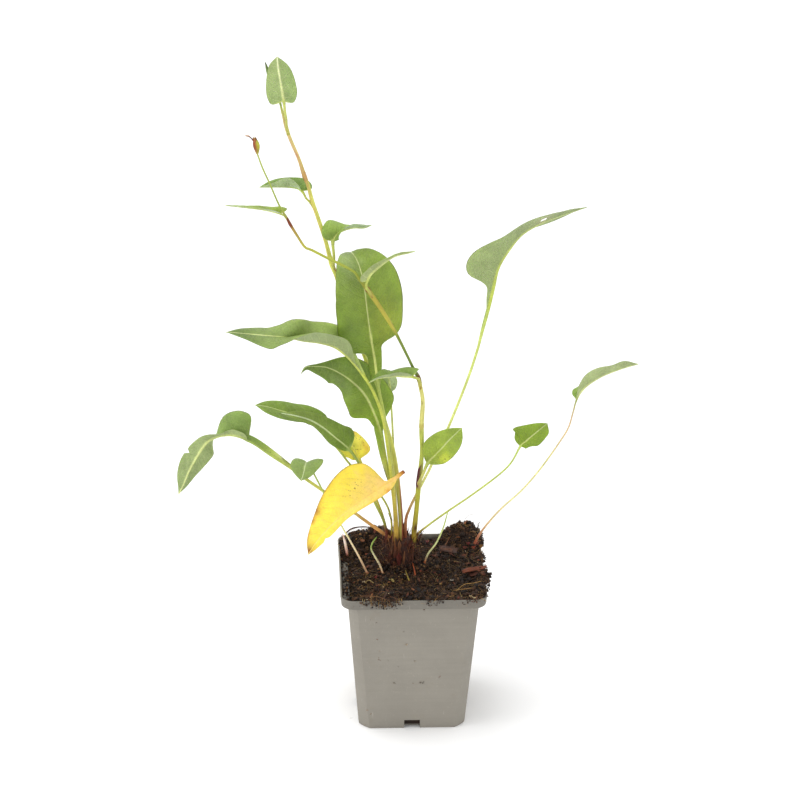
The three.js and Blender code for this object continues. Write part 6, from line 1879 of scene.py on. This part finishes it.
class BISTORT_OT_crown(bpy.types.Operator):
    """Build the knot of old sheaths and fibres in which the stalks stand"""

    bl_idname = "bistort.crown"
    bl_label = "Crown"

    def execute(self, context):
        settings = context.scene.bistort_crown
        rng = np.random.default_rng(SEED + 2)
        surface = Surface()
        self.add_core(surface)
        for k in range(settings.husks):
            angle = k * 2.399 + rng.uniform(-0.2, 0.2)
            level = rng.uniform(97, 110)
            base = (*crown_place(rng.uniform(0.6, 1), angle), level)
            outward = np.array([math.cos(angle), math.sin(angle), 0])
            lean = outward * rng.uniform(-0.35, 0.3) + (0, 0, 1)
            colours = CROWN_TONES[rng.integers(len(CROWN_TONES))]
            add_scale(surface, base, lean, outward, rng.uniform(7, 16), rng.uniform(1.2, 3.4), 1,
                rng.uniform(-0.3, 0.5), colours, 0.4, k)
        for _ in range(settings.hairs):
            angle = rng.uniform(0, math.tau)
            points = [np.array([*crown_place(rng.uniform(0.6, 1), angle), rng.uniform(98, 116)])]
            drift = np.array([math.cos(angle) * 0.5, math.sin(angle) * 0.5, rng.uniform(-0.6, 0.9)])
            for _ in range(6):
                drift = drift + rng.normal(0, 0.28, 3)
                points.append(above_soil(points[-1] + drift * rng.uniform(1, 2), 0.3))
            radius = rng.uniform(0.05, 0.16)
            add_strand(surface, np.array(points[:-1]), radius, chosen(CROWN_HAIRS, 1, rng)[0])
        surface.make("crown_sheaths", ["crown"], [once(husk_skin, "dry husk")])
        return {"FINISHED"}

    def add_core(self, surface):
        """The solid heart of the crown, ribbed upwards and broken at the top."""
        route = Route([(*CROWN_PLACE, z) for z in (CROWN_BASE, (CROWN_BASE + CROWN_TOP) / 2, CROWN_TOP - 1)])

        def shape(radius, length, angle):
            ribs = 0.06 * np.sin(11 * angle + length * 0.12) + 0.05 * np.sin(23 * angle - length * 0.2)
            lumps = 0.07 * np.sin(4 * angle + length / 7) + 0.06 * mottle(angle * 8, length, 5, SEED)
            flat = CROWN_RADII[1] / CROWN_RADII[0]
            oval = flat / np.hypot(flat * np.cos(angle), np.sin(angle))
            return radius * oval * (0.95 + ribs + lumps)

        def tone(length, angle, points):
            colour = stops(CORE_TONES, points[..., 2])
            return colour * (1 + 0.35 * mottle(angle * 10, length * 0.3, 2.4, SEED + 9))[..., None]

        marks = [(level, share * CROWN_RADII[0]) for level, share in CROWN_LEVELS]
        add_tube(surface, route, marks, 72, 1, tone, up=(0, -1, 0), shape=shape)


class BISTORT_OT_basal_leaves(bpy.types.Operator):
    """Grow the basal leaves, each with its own stalk, from the crown and the compost"""

    bl_idname = "bistort.basal_leaves"
    bl_label = "Basal leaves"

    def execute(self, context):
        for index, (name, leaf) in enumerate(BASAL_LEAVES.items()):
            grow_leaf(name, leaf, context.scene.bistort_leaf, SEED + 13 * index)
        return {"FINISHED"}


class BISTORT_OT_stem_leaves(bpy.types.Operator):
    """Grow the small leaves of the two stems and the young rolled leaf"""

    bl_idname = "bistort.stem_leaves"
    bl_label = "Stem leaves"

    def execute(self, context):
        for index, (name, leaf) in enumerate(STEM_LEAVES.items()):
            grow_leaf(name, leaf, context.scene.bistort_leaf, SEED + 500 + 13 * index)
        grow_rolled_leaf(context.scene.bistort_stem)
        return {"FINISHED"}


class BISTORT_OT_stems(bpy.types.Operator):
    """Grow the two flowering stems, the bare stalk and the two young shoots"""

    bl_idname = "bistort.stems"
    bl_label = "Stems and shoots"

    def execute(self, context):
        for index, name in enumerate(("stem_tall", "stem_bud", "stalk_bare", "sprout_pale", "sprout_green")):
            grow_stem(name, context.scene.bistort_stem, index + 2)
        return {"FINISHED"}


class BISTORT_OT_flower_head(bpy.types.Operator):
    """Grow the unopened flower head with its curled pale tip"""

    bl_idname = "bistort.flower_head"
    bl_label = "Flower head"

    def execute(self, context):
        grow_flower_head()
        return {"FINISHED"}


class BISTORT_OT_stage(bpy.types.Operator):
    """Set the plain floor, the even soft light and the camera"""

    bl_idname = "bistort.stage"
    bl_label = "Floor, light and camera"

    def execute(self, context):
        scene = context.scene
        settings = scene.bistort_stage
        mesh = bpy.data.meshes.new("floor")
        mesh.from_pydata([(-6, -6, 0), (6, -6, 0), (6, 9, 0), (-6, 9, 0)], [], [(0, 1, 2, 3)])
        mesh.materials.append(backdrop_skin("pale floor", settings.floor))
        placed("floor", mesh)
        scene.world = bpy.data.worlds.new("soft room")
        scene.world.use_nodes = True
        background = scene.world.node_tree.nodes["Background"]
        background.inputs["Color"].default_value = (1, 1, 1, 1)
        background.inputs["Strength"].default_value = settings.sky
        for name, place, size, power in (("softbox", (-0.7, 0.1, 2.3), 1.7, settings.lamp),
                ("left softbox", (-2, -0.6, 1.2), 1.4, 0.3 * settings.lamp)):
            light = bpy.data.lights.new(name, "AREA")
            light.shape = "SQUARE"
            light.size = size
            light.energy = power
            lamp = placed(name, light)
            lamp.location = place
            lamp.rotation_euler = (Vector((0, 0, 0.15)) - Vector(place)).to_track_quat("-Z", "Y").to_euler()
        scene.camera = self.camera()
        scene.view_settings.view_transform = "Standard"
        return {"FINISHED"}

    def camera(self):
        """The camera at the photographer's place."""
        turn, dip, roll = (math.radians(value) for value in (CAMERA_TURN, CAMERA_DIP, CAMERA_ROLL))
        forward = Vector((math.sin(turn) * math.cos(dip), math.cos(turn) * math.cos(dip), -math.sin(dip)))
        right = Vector((math.cos(turn), -math.sin(turn), 0))
        up = right.cross(forward)
        across = math.cos(roll) * right + math.sin(roll) * up
        upright = -math.sin(roll) * right + math.cos(roll) * up
        data = bpy.data.cameras.new("camera")
        data.lens = CAMERA_LENS
        data.sensor_width = 36
        camera = placed("camera", data)
        axes = Matrix((across, upright, -forward)).transposed().to_4x4()
        camera.matrix_world = Matrix.Translation(CAMERA_PLACE) @ axes
        return camera


class BISTORT_PT_panel(bpy.types.Panel):
    """Lists the pieces of the bistort and their settings"""

    bl_idname = "BISTORT_PT_panel"
    bl_label = "Potted bistort"
    bl_space_type = "VIEW_3D"
    bl_region_type = "UI"
    bl_category = "Bistort"

    def draw(self, context):
        for title, group, operators in PANEL_ROWS:
            box = self.layout.box()
            for setting in group.__annotations__:
                box.prop(getattr(context.scene, title), setting)
            for operator in operators:
                box.operator(operator.bl_idname)


PANEL_ROWS = [
    ("bistort_pot", PotSettings, [BISTORT_OT_pot]),
    ("bistort_compost", CompostSettings, [BISTORT_OT_compost, BISTORT_OT_bark]),
    ("bistort_crown", CrownSettings, [BISTORT_OT_crown]),
    ("bistort_leaf", LeafSettings, [BISTORT_OT_basal_leaves]),
    ("bistort_stem", StemSettings, [BISTORT_OT_stems, BISTORT_OT_stem_leaves, BISTORT_OT_flower_head]),
    ("bistort_stage", StageSettings, [BISTORT_OT_stage]),
]


def register():
    for title, group, operators in PANEL_ROWS:
        for kind in (group, *operators):
            bpy.utils.register_class(kind)
        setattr(bpy.types.Scene, title, bpy.props.PointerProperty(type=group))
    bpy.utils.register_class(BISTORT_PT_panel)


def unregister():
    bpy.utils.unregister_class(BISTORT_PT_panel)
    for title, group, operators in PANEL_ROWS:
        delattr(bpy.types.Scene, title)
        for kind in (group, *operators):
            bpy.utils.unregister_class(kind)


def main():
    register()
    bpy.ops.bistort.pot()
    bpy.ops.bistort.compost()
    bpy.ops.bistort.bark()
    bpy.ops.bistort.crown()
    bpy.ops.bistort.basal_leaves()
    bpy.ops.bistort.stem_leaves()
    bpy.ops.bistort.stems()
    bpy.ops.bistort.flower_head()
    bpy.ops.bistort.stage()


if __name__ == "__main__":
    main()
